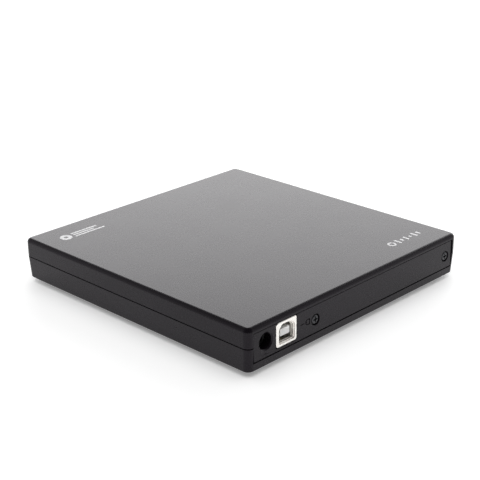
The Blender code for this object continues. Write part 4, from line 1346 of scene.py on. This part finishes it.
def row_of_parts(name, places, size, base, finish_name, slot, body, edge=0.00008):
    """Small board components, one mesh for a whole row."""
    shape = bmesh.new()
    for x, y in places:
        part = block_shape(
            (x - size[0] / 2, y - size[1] / 2, base),
            (x + size[0] / 2, y + size[1] / 2, base + size[2]),
            edge,
            2,
        )
        scrap = bpy.data.meshes.new("scrap")
        part.to_mesh(scrap)
        part.free()
        shape.from_mesh(scrap)
        bpy.data.meshes.remove(scrap)
    piece = put(name, shape)
    return dress(soften(piece, 35), finish(finish_name), slot, body)


CHIP_PINS = 14
CHIP_PIN_SPACING = 0.0009
CHIP_LEG = (0.0012, 0.0004, 0.0003)
SMALL_PART = (0.0016, 0.0008, 0.0006)


class OPTICALDRIVE_OT_boards(bpy.types.Operator):
    """Makes the bridge board and the drive's main board with their components"""

    bl_idname = "optical_drive.boards"
    bl_label = "Circuit Boards"

    def execute(self, context):
        refined("bridge_board", "bridge_board_fine", "board", "circuit_board", "root", 0.00005)
        refined("main_board", "main_board_fine", "board", "circuit_board", "root", 0.00005)
        refined("bridge_chip", "bridge_chip_fine", "chip", "chip_black", "root", 0.0001)
        refined("main_chip", "main_chip_fine", "chip", "chip_black", "root", 0.0001)
        refined(
            "bridge_crystal", "bridge_crystal_fine", "steel", "bright_metal", "root", 0.0003, segments=3
        )
        refined("bridge_capacitor", "bridge_capacitor_fine", "steel", "bright_metal", "root", 0.0002)
        refined("drive_connector", "drive_connector_fine", "black", "black_plastic", "root", 0.0001)
        low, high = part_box("main_board")
        chip_low, chip_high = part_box("main_chip")
        pins = [
            (x, chip_low.y + 0.0012 + step * CHIP_PIN_SPACING)
            for x in (chip_low.x - CHIP_LEG[0] / 2, chip_high.x + CHIP_LEG[0] / 2)
            for step in range(CHIP_PINS)
        ]
        row_of_parts(
            "main_chip_legs", pins, CHIP_LEG, high.z + SKIN, "steel", "bright_metal", "root"
        )
        rows = [(x * 0.0045, low.y + 0.0045) for x in range(-11, 6)] + [
            (x * 0.0052, high.y - 0.003) for x in range(-9, -2)
        ]
        row_of_parts(
            "main_board_parts", rows, SMALL_PART, high.z + SKIN, "chip", "chip_black", "root"
        )
        low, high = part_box("bridge_board")
        rows = [(low.x + 0.004 + x * 0.0034, low.y + 0.0016) for x in range(7)]
        row_of_parts(
            "bridge_board_parts", rows, SMALL_PART, high.z + SKIN, "chip", "chip_black", "root"
        )
        return {"FINISHED"}


class OPTICALDRIVE_OT_chassis(bpy.types.Operator):
    """Makes the drive's sheet-metal pan, its cover and the runners at both sides"""

    bl_idname = "optical_drive.chassis"
    bl_label = "Chassis and Runners"

    def execute(self, context):
        low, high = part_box("drive_chassis")
        thickness = 0.0006
        slots = [
            block(
                "slot",
                (x - 0.006, y - 0.0012, low.z - PAST),
                (x + 0.006, y + 0.0012, low.z + thickness + PAST),
                0.0008,
                3,
            )
            for x in (-0.04, 0.0, 0.018)
            for y in (-0.052, 0.018)
        ]
        side_holes = [
            post(
                "screw_hole",
                0.0011,
                (low.x - PAST, y, low.z + 0.003),
                (high.x + PAST, y, low.z + 0.003),
                24,
            )
            for y in (-0.045, 0.02)
        ]
        refined(
            "drive_chassis", "chassis_pan", "zinc", "plated_steel", "root", 0.00012, [*slots, *side_holes]
        )
        low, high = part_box("drive_cover")
        centre = middle_of("turntable")
        pressing = turned(
            "pressing",
            ((0.0165, 0.0003), (0.0180, 0.0003), (0.0183, -PAST), (0.0162, -PAST), (0.0165, 0.0003)),
            (centre.x, centre.y, high.z),
            axis=(0, 0, -1),
            steps=96,
        )
        tabs = [
            block(
                "notch",
                (x - 0.003, low.y - PAST, low.z - PAST),
                (x + 0.003, low.y + 0.0012, high.z + PAST),
                0.0004,
                2,
            )
            for x in (-0.05, 0.05)
        ]
        refined("drive_cover", "chassis_cover", "zinc", "plated_steel", "root", 0.00012, [pressing, *tabs])
        for side in ("left", "right"):
            refined(f"{side}_guide", f"{side}_runner_guide", "white", "white_plastic", "root", 0.0001)
            low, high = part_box(f"{side}_rail")
            slots = [
                block(
                    "slot",
                    (low.x - PAST, y - 0.004, low.z + 0.001),
                    (high.x + PAST, y + 0.004, high.z - 0.001),
                    0.0003,
                    2,
                )
                for y in (-0.03, 0.03)
            ]
            refined(f"{side}_rail", f"{side}_runner_rail", "steel", "steel", f"{side}_rail", 0.0001, slots)
        return {"FINISHED"}


MECHANISM_OUTLINE = (
    (-0.0155, -0.011),
    (-0.009, -0.019),
    (0.0615, -0.019),
    (0.068, -0.0125),
    (0.068, 0.011),
    (0.0615, 0.0175),
    (-0.009, 0.0175),
    (-0.0155, 0.011),
)


BEZEL_ROUNDING = 0.0009
PIN_HOLE_X = 0.029
PIN_HOLE_RADIUS = 0.0006
SIGN_HALF_WIDTH = 0.0009
SIGN_DEPTH = 0.00012
NOTCH_X = -0.0565
NOTCH_HALF_WIDTH = 0.006
NOTCH_HALF_LENGTH = 0.011
GROOVE_HALF_LENGTH = 0.006
GROOVE_DEPTH = 0.0006


class OPTICALDRIVE_OT_tray(bpy.types.Operator):
    """Makes the disc tray with its stepped wells, the bezel, the eject button and the light"""

    bl_idname = "optical_drive.tray"
    bl_label = "Tray and Bezel"

    def execute(self, context):
        settings = context.scene.optical_drive_tray
        low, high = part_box("tray")
        centre = middle_of("turntable")
        deck = high.z - TRAY_RIM + TRAY_FLOOR
        radius = settings.disc_radius
        small = settings.small_disc_radius
        rim = 0.0006
        past = high.z - deck + PAST
        well = turned(
            "well",
            (
                (0, past),
                (radius + rim + PAST, past),
                (radius + rim, high.z - deck),
                (radius, high.z - deck - rim),
                (radius, 0.0006),
                (radius - 0.0016, 0.0005),
                (radius - 0.0020, 0.0),
                (small + 0.0004, 0.0),
                (small, -0.0003),
                (0, -0.0003),
            ),
            (centre.x, centre.y, deck),
            steps=160,
        )
        opening = in_mechanism(plate("opening", MECHANISM_OUTLINE, low.z - PAST, high.z + PAST))
        notch = block(
            "finger_notch",
            (NOTCH_X - NOTCH_HALF_WIDTH, centre.y - NOTCH_HALF_LENGTH, deck + 0.0002),
            (NOTCH_X + NOTCH_HALF_WIDTH, centre.y + NOTCH_HALF_LENGTH, high.z + PAST),
            0.0015,
            4,
        )
        grooves = [
            block(
                "stiffening_groove",
                (x - GROOVE_HALF_LENGTH, low.y + 0.0035, high.z - GROOVE_DEPTH),
                (x + GROOVE_HALF_LENGTH, low.y + 0.0045, high.z + PAST),
                0.0002,
                2,
            )
            for x in (-0.05, -0.034, 0.034, 0.05)
        ]
        refined(
            "tray",
            "disc_tray",
            "tray",
            "tray_plastic",
            "tray",
            0.00012,
            [well, opening, notch, *grooves],
            angle=32,
        )

        low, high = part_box("tray_bezel")
        shape = block_shape(low, high)
        front = [edge for edge in shape.edges if all(vert.co.y < low.y + SKIN for vert in edge.verts)]
        round_edges(shape, front, BEZEL_ROUNDING, 6)
        bezel = put("drive_bezel", shape)
        middle_z = (low.z + high.z) / 2
        tools = []
        for node, gap in (("eject_button", 0.0002), ("activity_light", 0.0001)):
            part_low, part_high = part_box(node)
            tools.append(
                block(
                    "hole",
                    (part_low.x - gap, low.y - PAST, part_low.z - gap),
                    (part_high.x + gap, high.y + PAST, part_high.z + gap),
                    0.0004,
                    3,
                )
            )
        tools.append(
            post(
                "pin_hole",
                PIN_HOLE_RADIUS,
                (PIN_HOLE_X, low.y - PAST, middle_z),
                (PIN_HOLE_X, high.y + PAST, middle_z),
                32,
            )
        )
        carve(bezel, *tools)
        groove = block(
            "groove",
            (low.x - PAST, low.y - PAST, low.z + 0.0016),
            (high.x + PAST, low.y + 0.00025, low.z + 0.0019),
        )
        carve(bezel, groove)
        dress(soften(bezel, 32, 0.00008), finish("casing"), "casing", "tray", "tray_bezel")

        low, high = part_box("eject_button")
        button = block("button", low, high, 0.0005, 4)
        middle_x = (low.x + high.x) / 2
        sign = plate_shape(((-SIGN_HALF_WIDTH, 0), (SIGN_HALF_WIDTH, 0), (0, 0.0010)), 0, PAST)
        upright = Matrix.Rotation(math.radians(90), 4, "X")
        stand = Matrix.Translation((middle_x, low.y + SIGN_DEPTH, middle_z)) @ upright
        bmesh.ops.transform(sign, matrix=stand, verts=sign.verts)
        under = block(
            "underline",
            (middle_x - SIGN_HALF_WIDTH, low.y - PAST, middle_z - 0.0006),
            (middle_x + SIGN_HALF_WIDTH, low.y + SIGN_DEPTH, middle_z - 0.0003),
        )
        carve(button, put("triangle", sign), under)
        dress(soften(button, 32, 0.00004), finish("casing"), "casing", "eject_button", "eject_button")
        refined("activity_light", "light_window", "window", "light_window", "tray", 0.0002, segments=3)
        return {"FINISHED"}


SCREW_PLACES = ((-0.0105, 0.0125), (-0.0105, -0.0125), (0.0610, 0.0135), (0.0610, -0.0150))
CROSS_LENGTH = 0.0016
CROSS_WIDTH = 0.0003
CROSS_DEPTH = 0.00025
COVER_BEADS = ((0.036, -0.0140, 0.044), (0.036, 0.0142, 0.036))
COVER_BEAD_WIDTH = 0.0016
SHIELD_BEADS = ((0.041, 0.007, 0.036), (0.041, -0.010, 0.036))
SHIELD_BEAD_WIDTH = 0.002
ROD_CHAMFER = 0.0002
SCREW_PITCH = 0.0030
POCKET_DEPTH = 0.0009


class OPTICALDRIVE_OT_mechanism(bpy.types.Operator):
    """Makes the laser mechanism: frame, cover, rods, lead screw and the sled with its lens"""

    bl_idname = "optical_drive.mechanism"
    bl_label = "Laser Mechanism"

    def execute(self, context):
        refined("mechanism_frame", "mechanism_frame_fine", "zinc", "plated_steel", "tray", 0.00015)
        self.make_shield()
        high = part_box("mechanism_cover")[1]
        beads = []
        for u, v, length in COVER_BEADS:
            bead = block(
                "bead",
                (u - length / 2, v - COVER_BEAD_WIDTH / 2, high.z - 0.0002),
                (u + length / 2, v + COVER_BEAD_WIDTH / 2, high.z + PAST),
                0.0005,
                3,
            )
            beads.append(in_mechanism(bead))
        holes = []
        for u, v in SCREW_PLACES:
            holes.append(
                in_mechanism(
                    turned(
                        "hole",
                        (
                            (0, PAST),
                            (0.0016, PAST),
                            (0.0016, -0.0003),
                            (0.0009, -0.0003),
                            (0.0009, -PAST * 2),
                            (0, -PAST * 2),
                        ),
                        (u, v, high.z),
                        steps=32,
                    )
                )
            )
        refined(
            "mechanism_cover",
            "mechanism_cover_fine",
            "black",
            "black_plastic",
            "tray",
            0.00012,
            [*beads, *holes],
        )
        screws = bmesh.new()
        for u, v in SCREW_PLACES:
            head = turned(
                "head",
                (
                    (0, -0.0001),
                    (0.0012, -0.0001),
                    (0.0014, -0.0002),
                    (0.0014, -0.00028),
                    (0.0008, -0.00028),
                    (0.0008, -0.0009),
                    (0, -0.0009),
                ),
                (u, v, high.z),
                steps=32,
            )
            cross = [
                block(
                    "cross",
                    (u - w / 2, v - d / 2, high.z - CROSS_DEPTH),
                    (u + w / 2, v + d / 2, high.z + PAST),
                )
                for w, d in ((CROSS_LENGTH, CROSS_WIDTH), (CROSS_WIDTH, CROSS_LENGTH))
            ]
            carve(head, *cross)
            screws.from_mesh(in_mechanism(head).data)
            clear_away(head)
        dress(soften(put("cover_screws", screws), 35), finish("steel"), "steel", "tray")

        for node, name in (("guide_rod_far", "rod_far"), ("guide_rod_near", "rod_near")):
            self.make_rod(node, name)
        self.make_lead_screw()
        refined("sled_motor", "sled_motor_fine", "steel", "steel", "tray", 0.0003, segments=3)
        self.make_sled()
        return {"FINISHED"}

    def make_shield(self):
        """The thin plate that closes the mechanism from below, with two pressed beads and a vent slot."""
        low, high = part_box("mechanism_shield")
        tools = []
        for u, v, length in SHIELD_BEADS:
            bead = block(
                "bead",
                (u - length / 2, v - SHIELD_BEAD_WIDTH / 2, high.z - 0.00012),
                (u + length / 2, v + SHIELD_BEAD_WIDTH / 2, high.z + PAST),
                0.0004,
                3,
            )
            tools.append(in_mechanism(bead))
        slot = block("slot", (0.054, -0.006, low.z - PAST), (0.0552, 0.004, high.z + PAST), 0.0005, 3)
        tools.append(in_mechanism(slot))
        refined("mechanism_shield", "bottom_shield", "zinc", "plated_steel", "tray", 0.00006, tools)

    def ends(self, node):
        """Start, end, middle in V, middle height and radius of a straight bar that lies along U."""
        place = mechanism_place().inverted()
        low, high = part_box(node)
        points = [place @ vert.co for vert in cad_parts[node].data.vertices]
        start = min(point.x for point in points)
        end = max(point.x for point in points)
        v = (min(point.y for point in points) + max(point.y for point in points)) / 2
        return start, end, v, (low.z + high.z) / 2, (high.z - low.z) / 2

    def make_rod(self, node, name):
        start, end, v, z, radius = self.ends(node)
        profile = (
            (0, 0),
            (radius - ROD_CHAMFER, 0),
            (radius, ROD_CHAMFER),
            (radius, end - start - ROD_CHAMFER),
            (radius - ROD_CHAMFER, end - start),
            (0, end - start),
        )
        rod = in_mechanism(turned(name, profile, (start, v, z), axis=(1, 0, 0), steps=40))
        dress(soften(rod, 40), finish("steel"), "steel", "tray", node)

    def make_lead_screw(self):
        """A rod with a raised helical thread."""
        start, end, v, z, radius = self.ends("lead_screw")
        core = radius * 0.78
        length = end - start
        plain = 0.0012
        turn_steps = 28
        profile = ((0, 0), (core, 0), (core, length), (0, length))
        rod = turned("screw_shaft", profile, (start, v, z), axis=(1, 0, 0), steps=40)
        turns = int((length - 2 * plain) / SCREW_PITCH)
        shape = bmesh.new()
        root = core - 0.0001
        root_half = 0.00045
        crest_half = 0.0002
        points = ((root, -root_half), (radius, -crest_half), (radius, crest_half), (root, root_half))
        verts = [shape.verts.new((across, 0, along)) for across, along in points]
        face = shape.faces.new(verts)
        bmesh.ops.spin(
            shape,
            geom=[face],
            cent=(0, 0, 0),
            axis=(0, 0, 1),
            dvec=(0, 0, SCREW_PITCH / turn_steps),
            angle=math.tau * turns,
            steps=turn_steps * turns,
            use_merge=False,
        )
        bmesh.ops.remove_doubles(shape, verts=shape.verts, dist=1e-7)
        turn = Vector((1, 0, 0)).to_track_quat("Z", "Y").to_matrix().to_4x4()
        bmesh.ops.transform(
            shape, matrix=Matrix.Translation((start + plain, v, z)) @ turn, verts=shape.verts
        )
        thread = put("thread", shape)
        mixed = bmesh.new()
        mixed.from_mesh(rod.data)
        mixed.from_mesh(thread.data)
        mixed.to_mesh(rod.data)
        mixed.free()
        clear_away(thread)
        rod.name = "threaded_lead_screw"
        dress(soften(in_mechanism(rod), 50), finish("steel"), "steel", "lead_screw", "lead_screw")

    def make_sled(self):
        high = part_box("pickup_carriage")[1]
        lens = middle_of("lens")
        home = mechanism_place().inverted() @ lens
        tools = []
        for u, v, w, d in (
            (home.x + 0.0046, 0.0045, 0.0030, 0.0050),
            (home.x - 0.0044, 0.0050, 0.0026, 0.0040),
            (home.x + 0.0044, -0.0050, 0.0030, 0.0036),
        ):
            pocket = block(
                "pocket",
                (u - w / 2, v - d / 2, high.z - POCKET_DEPTH),
                (u + w / 2, v + d / 2, high.z + PAST),
                0.0005,
                3,
            )
            tools.append(in_mechanism(pocket))
        refined("pickup_carriage", "laser_sled", "cast", "cast_metal", "sled", 0.0002, tools)
        refined("lens_holder", "lens_carrier", "black", "black_plastic", "lens_unit", 0.0002, segments=3)
        low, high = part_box("lens")
        radius = (high.x - low.x) / 2
        rise = high.z - low.z
        profile = [(0, rise)]
        dome_steps = 9
        for step in range(1, dome_steps):
            angle = math.radians(90 - step * 9)
            profile.append((radius * 0.82 * math.cos(angle), rise * (0.35 + 0.65 * math.sin(angle))))
        profile += [(radius * 0.86, rise * 0.36), (radius, rise * 0.36), (radius, 0), (0, 0)]
        glass = turned("objective_lens", profile, (lens.x, lens.y, low.z), steps=64)
        dress(soften(glass, 40), finish("lens"), "lens_glass", "lens_unit", "lens")


TABLE_HUB_RADIUS = 0.0072
SEAT_GROOVE_RADIUS = 0.0088
SEAT_RING_RADIUS = 0.0092


class OPTICALDRIVE_OT_spindle(bpy.types.Operator):
    """Makes the spindle motor and the turntable that grips the disc"""

    bl_idname = "optical_drive.spindle"
    bl_label = "Spindle and Turntable"

    def execute(self, context):
        low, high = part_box("motor_base")
        centre = (low + high) / 2
        radius = (high.x - low.x) / 2
        rise = high.z - low.z
        profile = ((0, rise), (radius - 0.0002, rise), (radius, rise - 0.0002), (radius, 0), (0, 0))
        base = turned("motor_plate", profile, (centre.x, centre.y, low.z), steps=96)
        dress(soften(base, 40), finish("zinc"), "steel", "tray", "motor_base")

        low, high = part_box("motor_rotor")
        radius = (high.x - low.x) / 2
        rise = high.z - low.z
        profile = (
            (0, rise),
            (radius - 0.0008, rise),
            (radius - 0.0003, rise - 0.0001),
            (radius, rise - 0.0005),
            (radius, 0.0003),
            (radius - 0.0003, 0.0003),
            (radius - 0.0003, 0.0001),
            (radius - 0.0006, 0),
            (0, 0),
        )
        rotor = turned("rotor_bell", profile, (centre.x, centre.y, low.z), steps=120)
        dress(soften(rotor, 40), finish("steel"), "steel", "spindle", "motor_rotor")

        low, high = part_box("turntable")
        radius = (high.x - low.x) / 2
        seat = DISC_Z - low.z
        hub = TABLE_HUB_RADIUS
        top = high.z - low.z
        profile = (
            (0, top - 0.0004),
            (0.0018, top - 0.0004),
            (0.0022, top),
            (hub - 0.0012, top),
            (hub - 0.0004, top - 0.0002),
            (hub, top - 0.0008),
            (hub, seat - 0.00025),
            (SEAT_GROOVE_RADIUS, seat - 0.00025),
            (SEAT_GROOVE_RADIUS, seat - 0.00012),
            (radius - 0.0006, seat - 0.00012),
            (radius - 0.0002, seat - 0.0002),
            (radius, seat - 0.0004),
            (radius, seat - 0.0009),
            (hub, seat - 0.0009),
            (hub, 0),
            (0, 0),
        )
        table = turned("disc_turntable", profile, (centre.x, centre.y, low.z), steps=120)
        slots = []
        for number in range(1, 4):
            claw_low, claw_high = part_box(f"hub_claw_{number}")
            middle = (claw_low + claw_high) / 2
            out = Vector((middle.x - centre.x, middle.y - centre.y, 0))
            angle = math.atan2(out.y, out.x)
            slot = block("slot", (0.0033, -0.0016, claw_low.z - GAP), (hub + PAST, 0.0016, high.z + PAST))
            slot.data.transform(
                Matrix.Translation((centre.x, centre.y, 0)) @ Matrix.Rotation(angle, 4, "Z")
            )
            slots.append(slot)
        carve(table, *slots)
        dress(soften(table, 32, 0.00008), finish("hub"), "turntable_plastic", "spindle", "turntable")
        ring = turned(
            "rubber_ring",
            (
                (SEAT_RING_RADIUS, 0.0001),
                (radius - 0.0008, 0.0001),
                (radius - 0.0008, -0.00005),
                (SEAT_RING_RADIUS, -0.00005),
                (SEAT_RING_RADIUS, 0.0001),
            ),
            (centre.x, centre.y, DISC_Z - 0.0001),
            steps=120,
        )
        dress(soften(ring, 40), finish("seat"), "turntable_plastic", "spindle")
        for number in range(1, 4):
            refined(
                f"hub_claw_{number}",
                f"claw_{number}",
                "white",
                "turntable_plastic",
                f"hub_claw_{number}",
                0.0002,
                segments=3,
            )
        return {"FINISHED"}


class OPTICALDRIVE_OT_catch(bpy.types.Operator):
    """Makes the latch under the tray and the sprung ejector at the back"""

    bl_idname = "optical_drive.catch"
    bl_label = "Latch and Ejector"

    def execute(self, context):
        refined("latch_lever", "latch_hook", "white", "white_plastic", "latch", 0.00015)
        refined("latch_solenoid", "solenoid", "zinc", "steel", "tray", 0.0002)
        low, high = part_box("latch_pin")
        centre = (low + high) / 2
        radius = (high.x - low.x) / 2
        rise = high.z - low.z
        pin = turned(
            "catch_pin",
            ((0, rise), (radius - 0.0002, rise), (radius, rise - 0.0002), (radius, 0), (0, 0)),
            (centre.x, centre.y, low.z),
            steps=32,
        )
        dress(soften(pin, 40), finish("steel"), "steel", "root", "latch_pin")
        refined("ejector_housing", "ejector_case", "black", "black_plastic", "root", 0.00015)
        refined("ejector_plunger", "ejector_rod", "white", "white_plastic", "ejector", 0.00015)
        return {"FINISHED"}


class OPTICALDRIVE_OT_ribbon(bpy.types.Operator):
    """Makes the flat cable from a copy of the model's shape"""

    bl_idname = "optical_drive.ribbon"
    bl_label = "Flat Cable"

    def execute(self, context):
        shape = bmesh.new()
        shape.from_mesh(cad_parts["flex_cable"].data)
        bmesh.ops.remove_doubles(shape, verts=shape.verts, dist=1e-6)
        piece = put("flat_cable", shape)
        piece.data.materials.clear()
        piece.data.materials.append(finish("flex"))
        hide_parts("flex_cable")
        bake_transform(piece)
        return {"FINISHED"}


# ---------------------------------------------------------------- sidebar and start


OPERATORS = (
    OPTICALDRIVE_OT_stage,
    OPTICALDRIVE_OT_casing,
    OPTICALDRIVE_OT_panel,
    OPTICALDRIVE_OT_sockets,
    OPTICALDRIVE_OT_marks,
    OPTICALDRIVE_OT_boards,
    OPTICALDRIVE_OT_chassis,
    OPTICALDRIVE_OT_tray,
    OPTICALDRIVE_OT_mechanism,
    OPTICALDRIVE_OT_spindle,
    OPTICALDRIVE_OT_catch,
    OPTICALDRIVE_OT_ribbon,
)


class OPTICALDRIVE_PT_sidebar(bpy.types.Panel):
    """Lists the pieces of the drive and their settings"""

    bl_idname = "OPTICALDRIVE_PT_sidebar"
    bl_label = "Optical Drive"
    bl_space_type = "VIEW_3D"
    bl_region_type = "UI"
    bl_category = "Optical Drive"

    def draw(self, context):
        layout = self.layout
        for group in SETTINGS:
            values = getattr(context.scene, property_name(group))
            column = layout.column(align=True)
            for setting in group.__annotations__:
                column.prop(values, setting)
        for operator in OPERATORS:
            layout.operator(operator.bl_idname)


def property_name(group):
    """Where the scene keeps a group of settings, such as optical_drive_casing."""
    return "optical_drive_" + group.__name__.removeprefix("OpticalDrive").lower()


def register():
    for group in SETTINGS:
        bpy.utils.register_class(group)
        setattr(bpy.types.Scene, property_name(group), bpy.props.PointerProperty(type=group))
    for operator in OPERATORS:
        bpy.utils.register_class(operator)
    bpy.utils.register_class(OPTICALDRIVE_PT_sidebar)


def unregister():
    bpy.utils.unregister_class(OPTICALDRIVE_PT_sidebar)
    for operator in reversed(OPERATORS):
        bpy.utils.unregister_class(operator)
    for group in reversed(SETTINGS):
        delattr(bpy.types.Scene, property_name(group))
        bpy.utils.unregister_class(group)


def main():
    register()
    for operator in OPERATORS:
        group, action = operator.bl_idname.split(".")
        getattr(getattr(bpy.ops, group), action)()


if __name__ == "__main__":
    main()
